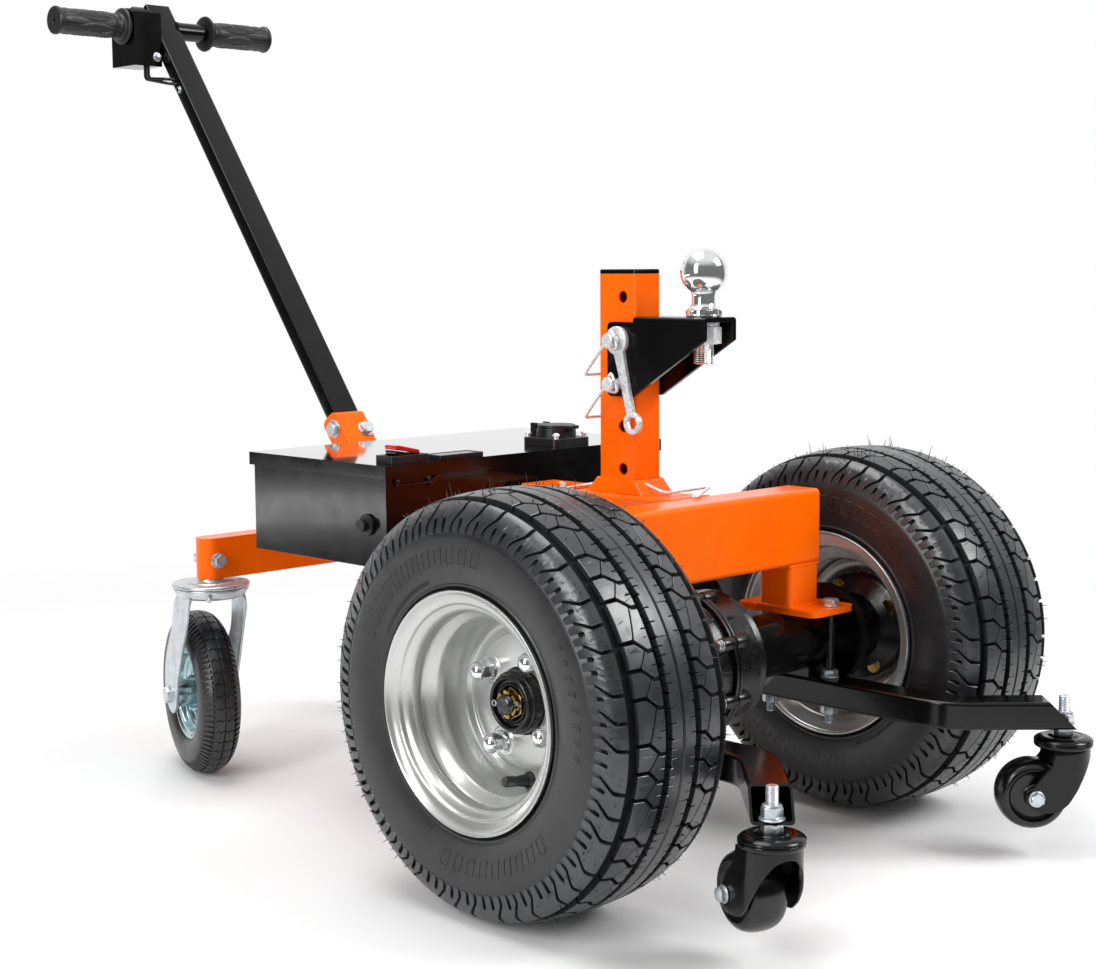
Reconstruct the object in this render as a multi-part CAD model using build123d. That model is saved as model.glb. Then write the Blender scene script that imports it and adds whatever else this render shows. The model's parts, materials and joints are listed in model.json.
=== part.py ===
from build123d import *
from math import asin, cos, degrees, radians, sin
import os

# Electric trailer dolly, millimetres, +Z up.
# While it is modelled, Y = 0 is the drive axle and Z = 0 the ground. The front, with the tow
# ball and the small casters, faces -Y. The operator stands at +Y, so +X is the operator's left.
# The last section moves everything so that the origin is the middle of the footprint.

# Fits and clearances
RUNNING_GAP = 0.08
LOOSE_GAP = 0.3
BOLT_GAP = 0.5

# Drive wheels
TYRE_RADIUS = 209.5
TYRE_HALF_WIDTH = 82.0
TREAD_HALF_WIDTH = 64.0
TREAD_THICKNESS = 15.0
SIDEWALL_THICKNESS = 9.0
TREAD_GROOVE_WIDTH = 6.0
TREAD_GROOVE_DEPTH = 6.5
RIM_SEAT_RADIUS = 101.6
RIM_LIP_RADIUS = 118.0
RIM_HALF_WIDTH = 79.0
RIM_WELL_RADIUS = 84.0
RIM_WALL = 3.0
TRACK_HALF = 276.0
DISC_OFFSET = -3.0
WHEEL_PAD_RADIUS = 68.0
WHEEL_PAD_RISE = 6.0
WHEEL_BORE_RADIUS = 33.0
LUG_CIRCLE_RADIUS = 50.8
LUG_COUNT = 4
LUG_TURN = 14.6
LUG_STUD_RADIUS = 6.0
LUG_NUT_LENGTH = 25.0
LUG_NUT_FLATS = 19.0
HUB_FLANGE_RADIUS = 62.0
HUB_FLANGE_THICKNESS = 12.0
HUB_NECK_LENGTH = 26.0
HUB_BARREL_RADIUS = 31.0
HUB_BARREL_LENGTH = 22.0
HUB_INNER_RADIUS = 22.0
AXLE_SHAFT_RADIUS = 14.0
CASTLE_NUT_FLATS = 34.0
CASTLE_NUT_LENGTH = 13.0
VALVE_RADIUS = 6.0
VALVE_LENGTH = 30.0

# Axle housing and drive
AXLE_TUBE_RADIUS = 35.0
AXLE_TUBE_WALL = 5.0
AXLE_TUBE_END = 206.0
AXLE_FLANGE_RADIUS = 58.0
AXLE_FLANGE_THICKNESS = 12.0
GEAR_SEAM_X = -45.0
GEAR_COVER_LENGTH = 74.0
GEAR_HOUSING_LENGTH = 58.0
GEAR_RADIUS = 70.0
GEAR_SEAM_RADIUS = 82.0
GEAR_SEAM_THICKNESS = 7.0
GEAR_NECK_RADIUS = 46.0
GEAR_BOLT_COUNT = 10
GEAR_RIB_THICKNESS = 5.0
GEAR_BOSS_LENGTH = 16.0
GEAR_BOSS_RADIUS = 7.5
MOTOR_RADIUS = 51.0
MOTOR_LENGTH = 110.0
MOTOR_Y = 124.0
MOTOR_ABOVE_AXLE = 26.5
REDUCER_START = 24.0
REDUCER_LENGTH = 24.0
REDUCER_RIM = 4.0

# Frame
BEAM_HALF_LENGTH = 162.0
BEAM_FRONT_Y = -22.0
BEAM_DEPTH = 50.0
BEAM_ABOVE_AXLE = 172.0
BEAM_HEIGHT = 83.0
BEAM_WALL = 4.0
TUBE_CORNER = 6.0
LEG_WIDTH = 52.0
LEG_DEPTH = 44.0
FLANGE_WIDTH = 76.0
FLANGE_DEPTH = 112.0
FLANGE_THICKNESS = 7.0
FLANGE_CORNER = 12.0
CLAMP_BOLT_X = 157.0
CLAMP_BOLT_Y = 42.0
CLAMP_BOLT_RADIUS = 5.0
SPINE_WIDTH = 60.0
SPINE_HEIGHT = 60.0
SPINE_WALL = 4.0
SPINE_DROP_Y = 214.0
SPINE_REAR_Y = 262.0
RAIL_WIDTH = 60.0
RAIL_HEIGHT = 46.0
REAR_BAR_Y = 615.0
REAR_BAR_DEPTH = 32.0
REAR_BAR_HEIGHT = 50.0
REAR_BAR_BOTTOM_Z = 254.5
REAR_CASTER_X = 219.0
REAR_BAR_OVERHANG = 17.0
REAR_CROSS_BOLT_Z = 277.0

# Mast and tow ball
MAST_FRONT_Y = 88.5
MAST_DEPTH = 56.0
MAST_WIDTH = 40.0
MAST_WALL = 3.0
MAST_TOP_Z = 621.5
MAST_CAP_RISE = 5.0
MAST_HOLE_SETBACK = 19.5
MAST_HOLE_RADIUS = 6.5
MAST_HOLE_PITCH = 47.0
MAST_HOLE_COUNT = 5
MAST_TOP_HOLE_DROP = 25.0
FOOT_RISE = 16.0
FOOT_WALL = 5.0
FOOT_FLARE = 16.0
BRACKET_PLATE = 5.0
BRACKET_SIDE_GAP = 1.0
BRACKET_FRONT_Y = -14.0
BRACKET_REAR_Y = 126.0
BRACKET_TOP_Z = 575.5
BRACKET_EAR_DROP = 6.0
BRACKET_EAR_HEIGHT = 81.0
BRACKET_NOSE_HEIGHT = 24.0
BALL_RADIUS = 25.4
BALL_Y = 9.0
BALL_Z = 623.4
BALL_NECK_RADIUS = 13.2
BALL_COLLAR_RADIUS = 19.0
BALL_COLLAR_HEIGHT = 9.0
BALL_SHANK_RADIUS = 11.0
BALL_SHANK_END_Z = 526.0
BALL_NUT_FLATS = 33.0
BALL_NUT_HEIGHT = 19.0
BALL_WASHER_HEIGHT = 4.0
LOCK_PIN_RADIUS = 6.0
LOCK_PIN_OUT = 46.0
LOCK_PIN_TIP = 40.0
LOCK_PIN_HEAD_RADIUS = 8.5
LOCK_PIN_HEAD_LENGTH = 4.0
BAIL_WIRE_RADIUS = 1.6
BAIL_EYE_HALF = 1.9
BAIL_EYE_WALL = 4.0
BAIL_NEAR_X = 39.0
BAIL_DROP = 38.0
SPANNER_THICKNESS = 5.0
SPANNER_LENGTH = 92.0
SPANNER_HEAD_RADIUS = 17.0
SPANNER_TAIL_RADIUS = 12.5
SPANNER_TAIL_FLATS = 13.0
SPANNER_NECK_WIDTH = 11.0

# Battery box
BOX_HALF_WIDTH = 218.0
BOX_FRONT_Y = 276.0
BOX_REAR_Y = 520.0
BOX_BOTTOM_Z = 300.5
BOX_WALL = 2.5
LID_TOP_Z = 415.5
LID_SKIRT = 15.0
LID_OVERHANG = 4.0
LID_WALL = 2.0
LID_HINGE_RADIUS = 4.0
LID_HINGE_X = 130.0
LID_HINGE_LENGTH = 50.0
LID_PIN_RADIUS = 2.0
LID_LEAF = 1.5
LID_LEAF_HEIGHT = 26.0
BATTERY_LENGTH = 181.0
BATTERY_DEPTH = 77.0
BATTERY_HEIGHT = 84.0
BATTERY_GAP = 12.0
CONTROLLER_LENGTH = 130.0
CONTROLLER_DEPTH = 60.0
CONTROLLER_HEIGHT = 38.0
BREAKER_Y = 308.0
BREAKER_Z = 348.0
ROCKER_X = -180.0
ROCKER_Y = 293.0
ROCKER_LENGTH = 42.0
ROCKER_WIDTH = 20.0
ROCKER_TILT = 9.0
SWITCH_LENGTH = 54.0
SWITCH_WIDTH = 30.0
SWITCH_RISE = 9.0
GAUGE_X = -104.0
GAUGE_Y = 293.0
GAUGE_LENGTH = 66.0
GAUGE_WIDTH = 30.0
GAUGE_RISE = 5.0
SOCKET_X = 84.0
SOCKET_Y = 318.0
SOCKET_PLATE = 60.0
SOCKET_PLATE_RISE = 9.0
SOCKET_RADIUS = 24.0
SOCKET_RISE = 20.0
SOCKET_BORE_RADIUS = 17.0
CAP_THICKNESS = 4.0

# Handle
POLE_FOOT_Y = 616.0
POLE_FOOT_Z = 424.0
POLE_LEAN = 36.6
POLE_WIDTH = 40.0
POLE_DEPTH = 20.0
POLE_WALL = 2.0
POLE_BELOW = 26.0
POLE_LENGTH = 712.0
TBAR_BELOW_TOP = 38.0
TBAR_ALONG = POLE_LENGTH - TBAR_BELOW_TOP
TBAR_RADIUS = 12.7
TBAR_HALF = 170.0
GRIP_RADIUS = 18.0
GRIP_FLANGE_RADIUS = 25.0
GRIP_FLANGE_THICKNESS = 6.0
GRIP_INNER_X = 66.0
GRIP_END = 4.0
HANDLE_BRACKET_WIDTH = 46.0
HANDLE_BRACKET_PLATE = 3.0
HANDLE_BRACKET_ABOVE = 20.0
HANDLE_BRACKET_BELOW = 44.0
HANDLE_BRACKET_BACK = 17.0
HANDLE_POST_FRONT_Y = 549.0
HANDLE_POST_TOP_Z = 392.0
HANDLE_BOLT_RADIUS = 5.0
LOCK_BOLT_X = 13.0
LOCK_BOLT_BELOW = 12.0
CONTROL_BOX_WIDTH = 44.0
CONTROL_BOX_FRONT = 24.0
CONTROL_BOX_BACK = 34.0
CONTROL_BOX_DROP = 54.0
CONTROL_BOX_RISE = 19.0
CONTROL_BOX_WALL = 2.0
SWITCH_BODY = 22.0
SWITCH_BEZEL = 3.0
SWITCH_PIN_RADIUS = 1.2
SWITCH_PIN_RISE = 2.5
CABLE_RADIUS = 2.2
CABLE_BEND = 7.0

# Rear casters
REAR_WHEEL_RADIUS = 102.0
REAR_WHEEL_HALF_WIDTH = 26.0
REAR_RIM_RADIUS = 52.0
REAR_RIM_LIP = 6.0
REAR_RIM_WALL = 2.0
REAR_HUB_RADIUS = 15.0
REAR_TRAIL = 54.0
REAR_TRAIL_TURN = 17.0
REAR_PLATE_RADIUS = 47.5
REAR_PLATE_THICKNESS = 4.0
REAR_RACE_HEIGHT = 10.0
REAR_STEM_RADIUS = 9.0
REAR_FORK_PLATE = 4.0
REAR_FORK_WIDTH = 76.0
REAR_AXLE_RADIUS = 6.0
REAR_AXLE_HEAD = 8.0
REAR_AXLE_FLATS = 19.0
REAR_PLATE_GAP = 5.0
REAR_PIVOT_RADIUS = 10.0
REAR_HOLE_COUNT = 5
REAR_HOLE_CIRCLE = 28.0
REAR_HOLE_RADIUS = 5.0

# Front casters
ARM_WIDTH = 40.0
ARM_HEIGHT = 30.0
ARM_WALL = 2.5
ARM_BOTTOM_Z = 140.5
ARM_BACK_Y = 46.0
ARM_BEND_Y = -197.0
ARM_BEND_RADIUS = 70.0
STEM_X = 245.0
STEM_Y = -285.0
STEM_FROM_TIP = 10.0
STEM_RADIUS = 6.0
STEM_RISE = 31.0
STEM_NUT_FLATS = 18.0
STEM_NUT_HEIGHT = 10.0
FRONT_WHEEL_RADIUS = 38.0
FRONT_WHEEL_HALF_WIDTH = 20.0
FRONT_TRAIL = 34.0
FRONT_TRAIL_RIGHT = 20.0
FRONT_TRAIL_LEFT = -45.0
FRONT_CAP_RADIUS = 31.0
FRONT_CAP_DROP = 8.0
FRONT_CAP_HEIGHT = 7.0
FRONT_RING_HEIGHT = 5.0
FRONT_FORK_PLATE = 2.5
FRONT_FORK_RADIUS = 30.0
FRONT_FORK_HALF_WIDTH = 26.0
FRONT_WHEEL_CENTRE_Z = 69.0
FRONT_AXLE_RADIUS = 5.0

# Derived places
AXLE_Z = TYRE_RADIUS
MOTOR_Z = AXLE_Z + MOTOR_ABOVE_AXLE
BEAM_TOP_Z = AXLE_Z + BEAM_ABOVE_AXLE
BEAM_BOTTOM_Z = BEAM_TOP_Z - BEAM_HEIGHT
BEAM_MID_Y = BEAM_FRONT_Y + BEAM_DEPTH / 2
BEAM_MID_Z = BEAM_TOP_Z - BEAM_HEIGHT / 2
FLANGE_BOTTOM_Z = AXLE_Z + AXLE_TUBE_RADIUS
ARM_TOP_Z = ARM_BOTTOM_Z + ARM_HEIGHT
MAST_MID_Y = MAST_FRONT_Y + MAST_DEPTH / 2
MAST_HOLE_Y = MAST_FRONT_Y + MAST_HOLE_SETBACK
MAST_HOLE_ZS = [MAST_TOP_Z - MAST_TOP_HOLE_DROP - n * MAST_HOLE_PITCH for n in range(MAST_HOLE_COUNT)]
PIN_ZS = MAST_HOLE_ZS[1:3]
LID_UNDER_Z = LID_TOP_Z - LID_WALL
REAR_BAR_TOP_Z = REAR_BAR_BOTTOM_Z + REAR_BAR_HEIGHT

parts = {}


def add(name, *shapes):
    """Keep the solids of one named sub-part."""
    solids = [solid for shape in shapes for solid in shape.solids()]
    parts.setdefault(name, []).extend(solids)


def block(x, y, z):
    """A box from three (low, high) pairs."""
    size = Box(x[1] - x[0], y[1] - y[0], z[1] - z[0])
    return Pos((x[0] + x[1]) / 2, (y[0] + y[1]) / 2, (z[0] + z[1]) / 2) * size


def rod(start, end, radius):
    """A round bar from one point to another."""
    axis = Vector(*end) - Vector(*start)
    return extrude(Plane(origin=start, z_dir=axis) * Circle(radius), amount=axis.length)


def ring(start, end, outer, inner):
    """A round bar with a bore."""
    axis = Vector(*end) - Vector(*start)
    plane = Plane(origin=start, z_dir=axis)
    return extrude(plane * (Circle(outer) - Circle(inner)), amount=axis.length)


def hexagon(start, end, flats):
    """A hexagon bar, its size given across the flats."""
    axis = Vector(*end) - Vector(*start)
    return extrude(Plane(origin=start, z_dir=axis) * RegularPolygon(flats / 2, 6, False), amount=axis.length)


def square_tube(plane, length, width, height, wall, corner):
    """A rectangular tube along the normal of a plane."""
    outline = RectangleRounded(width, height, corner)
    bore = RectangleRounded(width - 2 * wall, height - 2 * wall, max(corner - wall, 0.8))
    return extrude(plane * (outline - bore), amount=length)


def turned(points):
    """A profile of (along X, radius) points, turned about the X axis."""
    face = make_face(Polyline(*points, close=True))
    return revolve(Plane.XY * face, Axis.X, 360)


def both_sides(shape):
    """A shape and its mirror image across the machine's middle plane."""
    return [shape, mirror(shape, Plane.YZ)]


# Drive wheel, modelled with its outer face towards +X and its centre at the origin
def rim_shape():
    seat = RIM_SEAT_RADIUS
    well = RIM_WELL_RADIUS
    lip = RIM_LIP_RADIUS
    half = RIM_HALF_WIDTH
    side = [(half, lip), (half - 6, lip - 0.5), (half - 11, seat + 5), (half - 13, seat),
            (half - 29, seat - 1.5)]
    path = side + [(half - 38, well), (-half + 44, well), (-half + 34, seat - 1.5)]
    path += [(-half + 13, seat), (-half + 11, seat + 5), (-half + 6, lip - 0.5), (-half, lip)]
    inner = [(x, r - RIM_WALL) for x, r in reversed(path)]
    inner[0] = (-half, lip - RIM_WALL)
    barrel = turned(path + inner)
    disc_x = DISC_OFFSET
    pad_x = disc_x + WHEEL_PAD_RISE
    pad = WHEEL_PAD_RADIUS
    overlap = well - RIM_WALL / 2
    front = [(WHEEL_BORE_RADIUS, pad_x), (pad - 5, pad_x), (pad + 1, disc_x), (overlap - 6, disc_x + 1)]
    front += [(overlap, disc_x + 8)]
    back = [(r, x - RIM_WALL) for r, x in reversed(front)]
    disc = turned([(x, r) for r, x in front + back])
    body = barrel + disc
    for y, z in lug_places():
        body -= rod((disc_x - 20, y, z), (disc_x + 20, y, z), LUG_STUD_RADIUS + BOLT_GAP)
    return body


def tyre_shape():
    r = TYRE_RADIUS
    edge_r = r - 6.0
    shoulder = (TYRE_HALF_WIDTH - 7, r - 17)
    seat = RIM_SEAT_RADIUS + LOOSE_GAP
    toe = RIM_HALF_WIDTH - 29
    heel = RIM_HALF_WIDTH - 13 - LOOSE_GAP
    bulge_r = 156.0

    def half_outer(sign):
        return [
            (sign * TREAD_HALF_WIDTH, edge_r),
            (sign * (TREAD_HALF_WIDTH + 7), r - 10),
            (sign * shoulder[0], shoulder[1]),
            (sign * TYRE_HALF_WIDTH, bulge_r),
            (sign * (TYRE_HALF_WIDTH - 6), 124.0),
            (sign * (heel + 1.0), seat + 8),
            (sign * heel, seat),
            (sign * toe, seat),
        ]

    right = half_outer(1)
    left = half_outer(-1)
    thin = SIDEWALL_THICKNESS
    inner_r = r - TREAD_THICKNESS
    outline = [
        ThreePointArc(left[0], (0, r), right[0]),
        ThreePointArc(right[0], right[1], right[2]),
        ThreePointArc(right[2], right[3], right[4]),
        Polyline(right[4], right[5], right[6], right[7]),
        Line(right[7], (toe - 4, seat + 12)),
        ThreePointArc((toe - 4, seat + 12), (TYRE_HALF_WIDTH - thin, bulge_r),
                      (TREAD_HALF_WIDTH - 4, inner_r - 3)),
        ThreePointArc((TREAD_HALF_WIDTH - 4, inner_r - 3), (0, inner_r),
                      (-TREAD_HALF_WIDTH + 4, inner_r - 3)),
        ThreePointArc((-TREAD_HALF_WIDTH + 4, inner_r - 3), (-TYRE_HALF_WIDTH + thin, bulge_r),
                      (-toe + 4, seat + 12)),
        Line((-toe + 4, seat + 12), left[7]),
        Polyline(left[7], left[6], left[5], left[4]),
        ThreePointArc(left[4], left[3], left[2]),
        ThreePointArc(left[2], left[1], left[0]),
    ]
    tyre = revolve(Plane.XY * make_face(outline), Axis.X, 360)
    for x in (-38.0, -13.0, 13.0, 38.0):
        half = TREAD_GROOVE_WIDTH / 2
        low = r - TREAD_GROOVE_DEPTH - x * x / 400
        tyre -= turned([(x - half, low), (x + half, low), (x + half, r + 5), (x - half, r + 5)])
    return tyre


def hub_shape():
    face = DISC_OFFSET + WHEEL_PAD_RISE - RIM_WALL
    back = face - HUB_FLANGE_THICKNESS
    neck = back - HUB_NECK_LENGTH
    end = face + HUB_BARREL_LENGTH
    profile = [
        (neck, 0), (neck, HUB_INNER_RADIUS + 14), (back - 8, HUB_INNER_RADIUS + 17), (back,
                                                                                      HUB_FLANGE_RADIUS - 4),
        (back + 2, HUB_FLANGE_RADIUS), (face, HUB_FLANGE_RADIUS), (face, HUB_BARREL_RADIUS),
        (end - 2, HUB_BARREL_RADIUS), (end, HUB_BARREL_RADIUS - 2), (end, HUB_INNER_RADIUS), (face + 6,
                                                                                              HUB_INNER_RADIUS),
        (face + 6, 0),
    ]
    hub = turned(profile)
    for y, z in lug_places():
        hub += rod((back - 3, y, z), (back, y, z), LUG_STUD_RADIUS + 2.5)
        hub += rod((back, y, z), (face + RIM_WALL + 12, y, z), LUG_STUD_RADIUS)
    shaft_start = AXLE_TUBE_END - AXLE_FLANGE_THICKNESS - TRACK_HALF
    hub += rod((shaft_start, 0, 0), (end + 8, 0, 0), AXLE_SHAFT_RADIUS)
    nut_start = face + 6
    nut_end = nut_start + CASTLE_NUT_LENGTH
    hub += hexagon((nut_start, 0, 0), (nut_end, 0, 0), CASTLE_NUT_FLATS)
    crown = rod((nut_end, 0, 0), (nut_end + 7, 0, 0), CASTLE_NUT_FLATS / 2 - 1)
    for n in range(3):
        crown -= Rot(n * 60, 0, 0) * block((nut_end + 1, nut_end + 8), (-25, 25), (-2.5, 2.5))
    return hub + crown


def lug_places():
    """Where the studs stand round the hub, as (Y, Z)."""
    angles = [radians(45 + LUG_TURN + n * 360 / LUG_COUNT) for n in range(LUG_COUNT)]
    return [(LUG_CIRCLE_RADIUS * cos(angle), LUG_CIRCLE_RADIUS * sin(angle)) for angle in angles]


def lug_nut_shapes():
    seat = DISC_OFFSET + WHEEL_PAD_RISE
    nuts = []
    for y, z in lug_places():
        body = hexagon((seat, y, z), (seat + LUG_NUT_LENGTH, y, z), LUG_NUT_FLATS)
        dome_centre = seat + LUG_NUT_LENGTH - 13.0
        body = body & (Pos(dome_centre, y, z) * Sphere(16.0) + rod((seat - 1, y, z), (dome_centre, y, z),
                                                                   20.0))
        body -= rod((seat - 1, y, z), (seat + 13, y, z), LUG_STUD_RADIUS + RUNNING_GAP)
        nuts.append(body)
    return nuts


def place_wheel(side, shape):
    """side is +1 for the operator's left, -1 for the right, whose outer face looks to -X."""
    turn = 0 if side > 0 else 180
    return Pos(side * TRACK_HALF, 0, AXLE_Z) * Rot(0, 0, turn) * shape


def drive_wheels():
    tyre = tyre_shape()
    rim = rim_shape()
    hub = hub_shape()
    nuts = lug_nut_shapes()
    valve_y = (RIM_WELL_RADIUS - RIM_WALL - 1) * sin(radians(-24))
    valve_z = -(RIM_WELL_RADIUS - RIM_WALL - 1) * cos(radians(-24))
    valve_x = RIM_HALF_WIDTH - 46
    valve = rod((valve_x, valve_y, valve_z), (valve_x + VALVE_LENGTH, valve_y * 0.9, valve_z * 0.9),
                VALVE_RADIUS)
    rim = rim + valve
    for side, word in ((1, "left"), (-1, "right")):
        add("tyre_" + word, place_wheel(side, tyre))
        add("rim_" + word, place_wheel(side, rim))
        add("hub_" + word, place_wheel(side, hub))
        add("lug_nuts_" + word, *[place_wheel(side, nut) for nut in nuts])


# Axle housing, gear case and motor
def axle_parts():
    for side, length in ((1, GEAR_COVER_LENGTH), (-1, GEAR_HOUSING_LENGTH)):
        start = GEAR_SEAM_X + side * length
        end = side * AXLE_TUBE_END
        tube = ring((start, 0, AXLE_Z), (end, 0, AXLE_Z), AXLE_TUBE_RADIUS, AXLE_TUBE_RADIUS - AXLE_TUBE_WALL)
        flange_start = end - side * AXLE_FLANGE_THICKNESS
        tube += ring((flange_start, 0, AXLE_Z), (end, 0, AXLE_Z), AXLE_FLANGE_RADIUS,
                     AXLE_SHAFT_RADIUS + RUNNING_GAP)
        tube += seat_pad(side)
        add("axle_housing", tube)


def seat_pad(side):
    """Flat seat under the axle tube that the caster arm is clamped against."""
    x = side * CLAMP_BOLT_X
    pad = block((x - 18, x + 18), (-26, 26), (ARM_TOP_Z, AXLE_Z - AXLE_TUBE_RADIUS + 8))
    return pad - rod((x - 20, 0, AXLE_Z), (x + 20, 0, AXLE_Z), AXLE_TUBE_RADIUS - 1)


def gear_case(length):
    """One half of the gear case, with its seam at X = 0 and its neck towards +X."""
    shoulder = length - 16
    profile = [
        (0, 0), (0, GEAR_SEAM_RADIUS), (GEAR_SEAM_THICKNESS, GEAR_SEAM_RADIUS), (GEAR_SEAM_THICKNESS,
                                                                                 GEAR_RADIUS),
        (shoulder - 18, GEAR_RADIUS - 2), (shoulder, GEAR_RADIUS - 12), (shoulder + 4, GEAR_NECK_RADIUS - 6),
        (length, AXLE_TUBE_RADIUS - 2), (length, 0),
    ]
    case = turned(profile)
    bolt_ring = GEAR_SEAM_RADIUS - 3
    boss = rod((0, 0, bolt_ring), (GEAR_BOSS_LENGTH, 0, bolt_ring), GEAR_BOSS_RADIUS)
    outline = [(GEAR_SEAM_THICKNESS - 1, GEAR_RADIUS - 5), (GEAR_SEAM_THICKNESS - 1, GEAR_SEAM_RADIUS - 4)]
    outline += [(shoulder + 4, GEAR_NECK_RADIUS), (shoulder + 4, GEAR_NECK_RADIUS - 10)]
    face = make_face(Polyline(*[(x, 0, r) for x, r in outline], close=True))
    rib = extrude(face, amount=GEAR_RIB_THICKNESS / 2, dir=(0, 1, 0), both=True)
    for n in range(GEAR_BOLT_COUNT):
        angle = 360 * n / GEAR_BOLT_COUNT
        case += Rot(angle, 0, 0) * boss
        case += Rot(angle + 180 / GEAR_BOLT_COUNT, 0, 0) * rib
    return case


def gear_parts():
    place = Pos(GEAR_SEAM_X, 0, AXLE_Z)
    cover = place * gear_case(GEAR_COVER_LENGTH)
    reducer = (GEAR_SEAM_X + REDUCER_START, GEAR_SEAM_X + REDUCER_START + REDUCER_LENGTH)
    cover += rod((reducer[0], MOTOR_Y, MOTOR_Z), (reducer[1], MOTOR_Y, MOTOR_Z), MOTOR_RADIUS + REDUCER_RIM)
    cover += block(reducer, (GEAR_RADIUS / 2, MOTOR_Y), (AXLE_Z - GEAR_RADIUS / 2,
                                                         MOTOR_Z + MOTOR_RADIUS / 2))
    add("gear_cover", cover)
    add("gear_housing", place * Rot(0, 0, 180) * gear_case(GEAR_HOUSING_LENGTH))
    bolt_ring = GEAR_SEAM_RADIUS - 3
    head = hexagon((GEAR_BOSS_LENGTH, 0, bolt_ring), (GEAR_BOSS_LENGTH + 5, 0, bolt_ring), 10.0)
    add("housing_bolts", *[place * Rot(360 * n / GEAR_BOLT_COUNT, 0,
                                       0) * head for n in range(GEAR_BOLT_COUNT)])


def motor_part():
    start = GEAR_SEAM_X + REDUCER_START + REDUCER_LENGTH
    end = start + MOTOR_LENGTH
    can = rod((start, MOTOR_Y, MOTOR_Z), (end, MOTOR_Y, MOTOR_Z), MOTOR_RADIUS)
    can += rod((start, MOTOR_Y, MOTOR_Z), (start + 10, MOTOR_Y, MOTOR_Z), MOTOR_RADIUS + REDUCER_RIM)
    can += rod((end - 26, MOTOR_Y, MOTOR_Z), (end - 14, MOTOR_Y, MOTOR_Z), MOTOR_RADIUS + 2)
    can += rod((end, MOTOR_Y, MOTOR_Z), (end + 8, MOTOR_Y, MOTOR_Z), 16.0)
    add("drive_motor", can)


# Frame
def frame_parts():
    plane = Plane(origin=(-BEAM_HALF_LENGTH, BEAM_MID_Y, BEAM_MID_Z), x_dir=(0, 1, 0), z_dir=(1, 0, 0))
    outer = extrude(plane * RectangleRounded(BEAM_DEPTH, BEAM_HEIGHT, TUBE_CORNER),
                    amount=2 * BEAM_HALF_LENGTH)
    inside = BEAM_HALF_LENGTH - BEAM_WALL
    bore = block((-inside, inside), (BEAM_FRONT_Y + BEAM_WALL, BEAM_FRONT_Y + BEAM_DEPTH - BEAM_WALL),
                 (BEAM_BOTTOM_Z + BEAM_WALL, BEAM_TOP_Z - BEAM_WALL))
    add("cross_beam", outer - bore)

    leg_x = BEAM_HALF_LENGTH - LEG_WIDTH / 2
    leg_y = BEAM_FRONT_Y + LEG_DEPTH / 2
    flange_top = FLANGE_BOTTOM_Z + FLANGE_THICKNESS
    plane = Plane(origin=(leg_x, leg_y, flange_top), x_dir=(1, 0, 0), z_dir=(0, 0, 1))
    leg = square_tube(plane, BEAM_BOTTOM_Z - flange_top, LEG_WIDTH, LEG_DEPTH, BEAM_WALL, TUBE_CORNER)
    flange_x = CLAMP_BOLT_X - 9
    plate = Plane(origin=(flange_x, 0, FLANGE_BOTTOM_Z)) * RectangleRounded(FLANGE_WIDTH, FLANGE_DEPTH,
                                                                            FLANGE_CORNER)
    leg += extrude(plate, amount=FLANGE_THICKNESS)
    for y in (-CLAMP_BOLT_Y, CLAMP_BOLT_Y):
        leg -= rod((CLAMP_BOLT_X, y, FLANGE_BOTTOM_Z - 1), (CLAMP_BOLT_X, y, flange_top + 1),
                   CLAMP_BOLT_RADIUS + BOLT_GAP)
    add("beam_legs", *both_sides(leg))

    beam_back = BEAM_FRONT_Y + BEAM_DEPTH
    spine_mid_z = BEAM_TOP_Z - SPINE_HEIGHT / 2
    plane = Plane(origin=(0, beam_back, spine_mid_z), x_dir=(1, 0, 0), z_dir=(0, 1, 0))
    upper = square_tube(plane, SPINE_REAR_Y - beam_back, SPINE_WIDTH, SPINE_HEIGHT, SPINE_WALL, TUBE_CORNER)
    drop_bottom = BOX_BOTTOM_Z - RAIL_HEIGHT
    drop_top = BEAM_TOP_Z - SPINE_HEIGHT
    plane = Plane(origin=(0, (SPINE_DROP_Y + SPINE_REAR_Y) / 2, drop_bottom), x_dir=(1, 0, 0),
                  z_dir=(0, 0, 1))
    drop = square_tube(plane, drop_top - drop_bottom, SPINE_WIDTH, SPINE_REAR_Y - SPINE_DROP_Y, SPINE_WALL,
                       TUBE_CORNER)
    rail_mid_z = BOX_BOTTOM_Z - RAIL_HEIGHT / 2
    rear_face = REAR_BAR_Y - REAR_BAR_DEPTH / 2
    plane = Plane(origin=(0, SPINE_REAR_Y, rail_mid_z), x_dir=(1, 0, 0), z_dir=(0, 1, 0))
    rail = square_tube(plane, rear_face - SPINE_REAR_Y, RAIL_WIDTH, RAIL_HEIGHT, SPINE_WALL, TUBE_CORNER)
    add("spine", upper, drop, rail)

    reach = REAR_CASTER_X + REAR_BAR_OVERHANG
    round_end = REAR_BAR_DEPTH / 2
    plane = Plane(origin=(0, REAR_BAR_Y, REAR_BAR_BOTTOM_Z))
    bar = extrude(plane * SlotOverall(2 * reach, REAR_BAR_DEPTH), amount=REAR_BAR_HEIGHT)
    for x in (-REAR_CASTER_X, REAR_CASTER_X):
        bar -= rod((x, REAR_BAR_Y, REAR_BAR_BOTTOM_Z - 1), (x, REAR_BAR_Y, REAR_BAR_TOP_Z - 4),
                   REAR_STEM_RADIUS + RUNNING_GAP)
        bar -= rod((x, REAR_BAR_Y - round_end - 1, REAR_CROSS_BOLT_Z),
                   (x, REAR_BAR_Y + round_end + 1, REAR_CROSS_BOLT_Z), CLAMP_BOLT_RADIUS + BOLT_GAP)
    add("rear_bar", bar)


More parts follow.
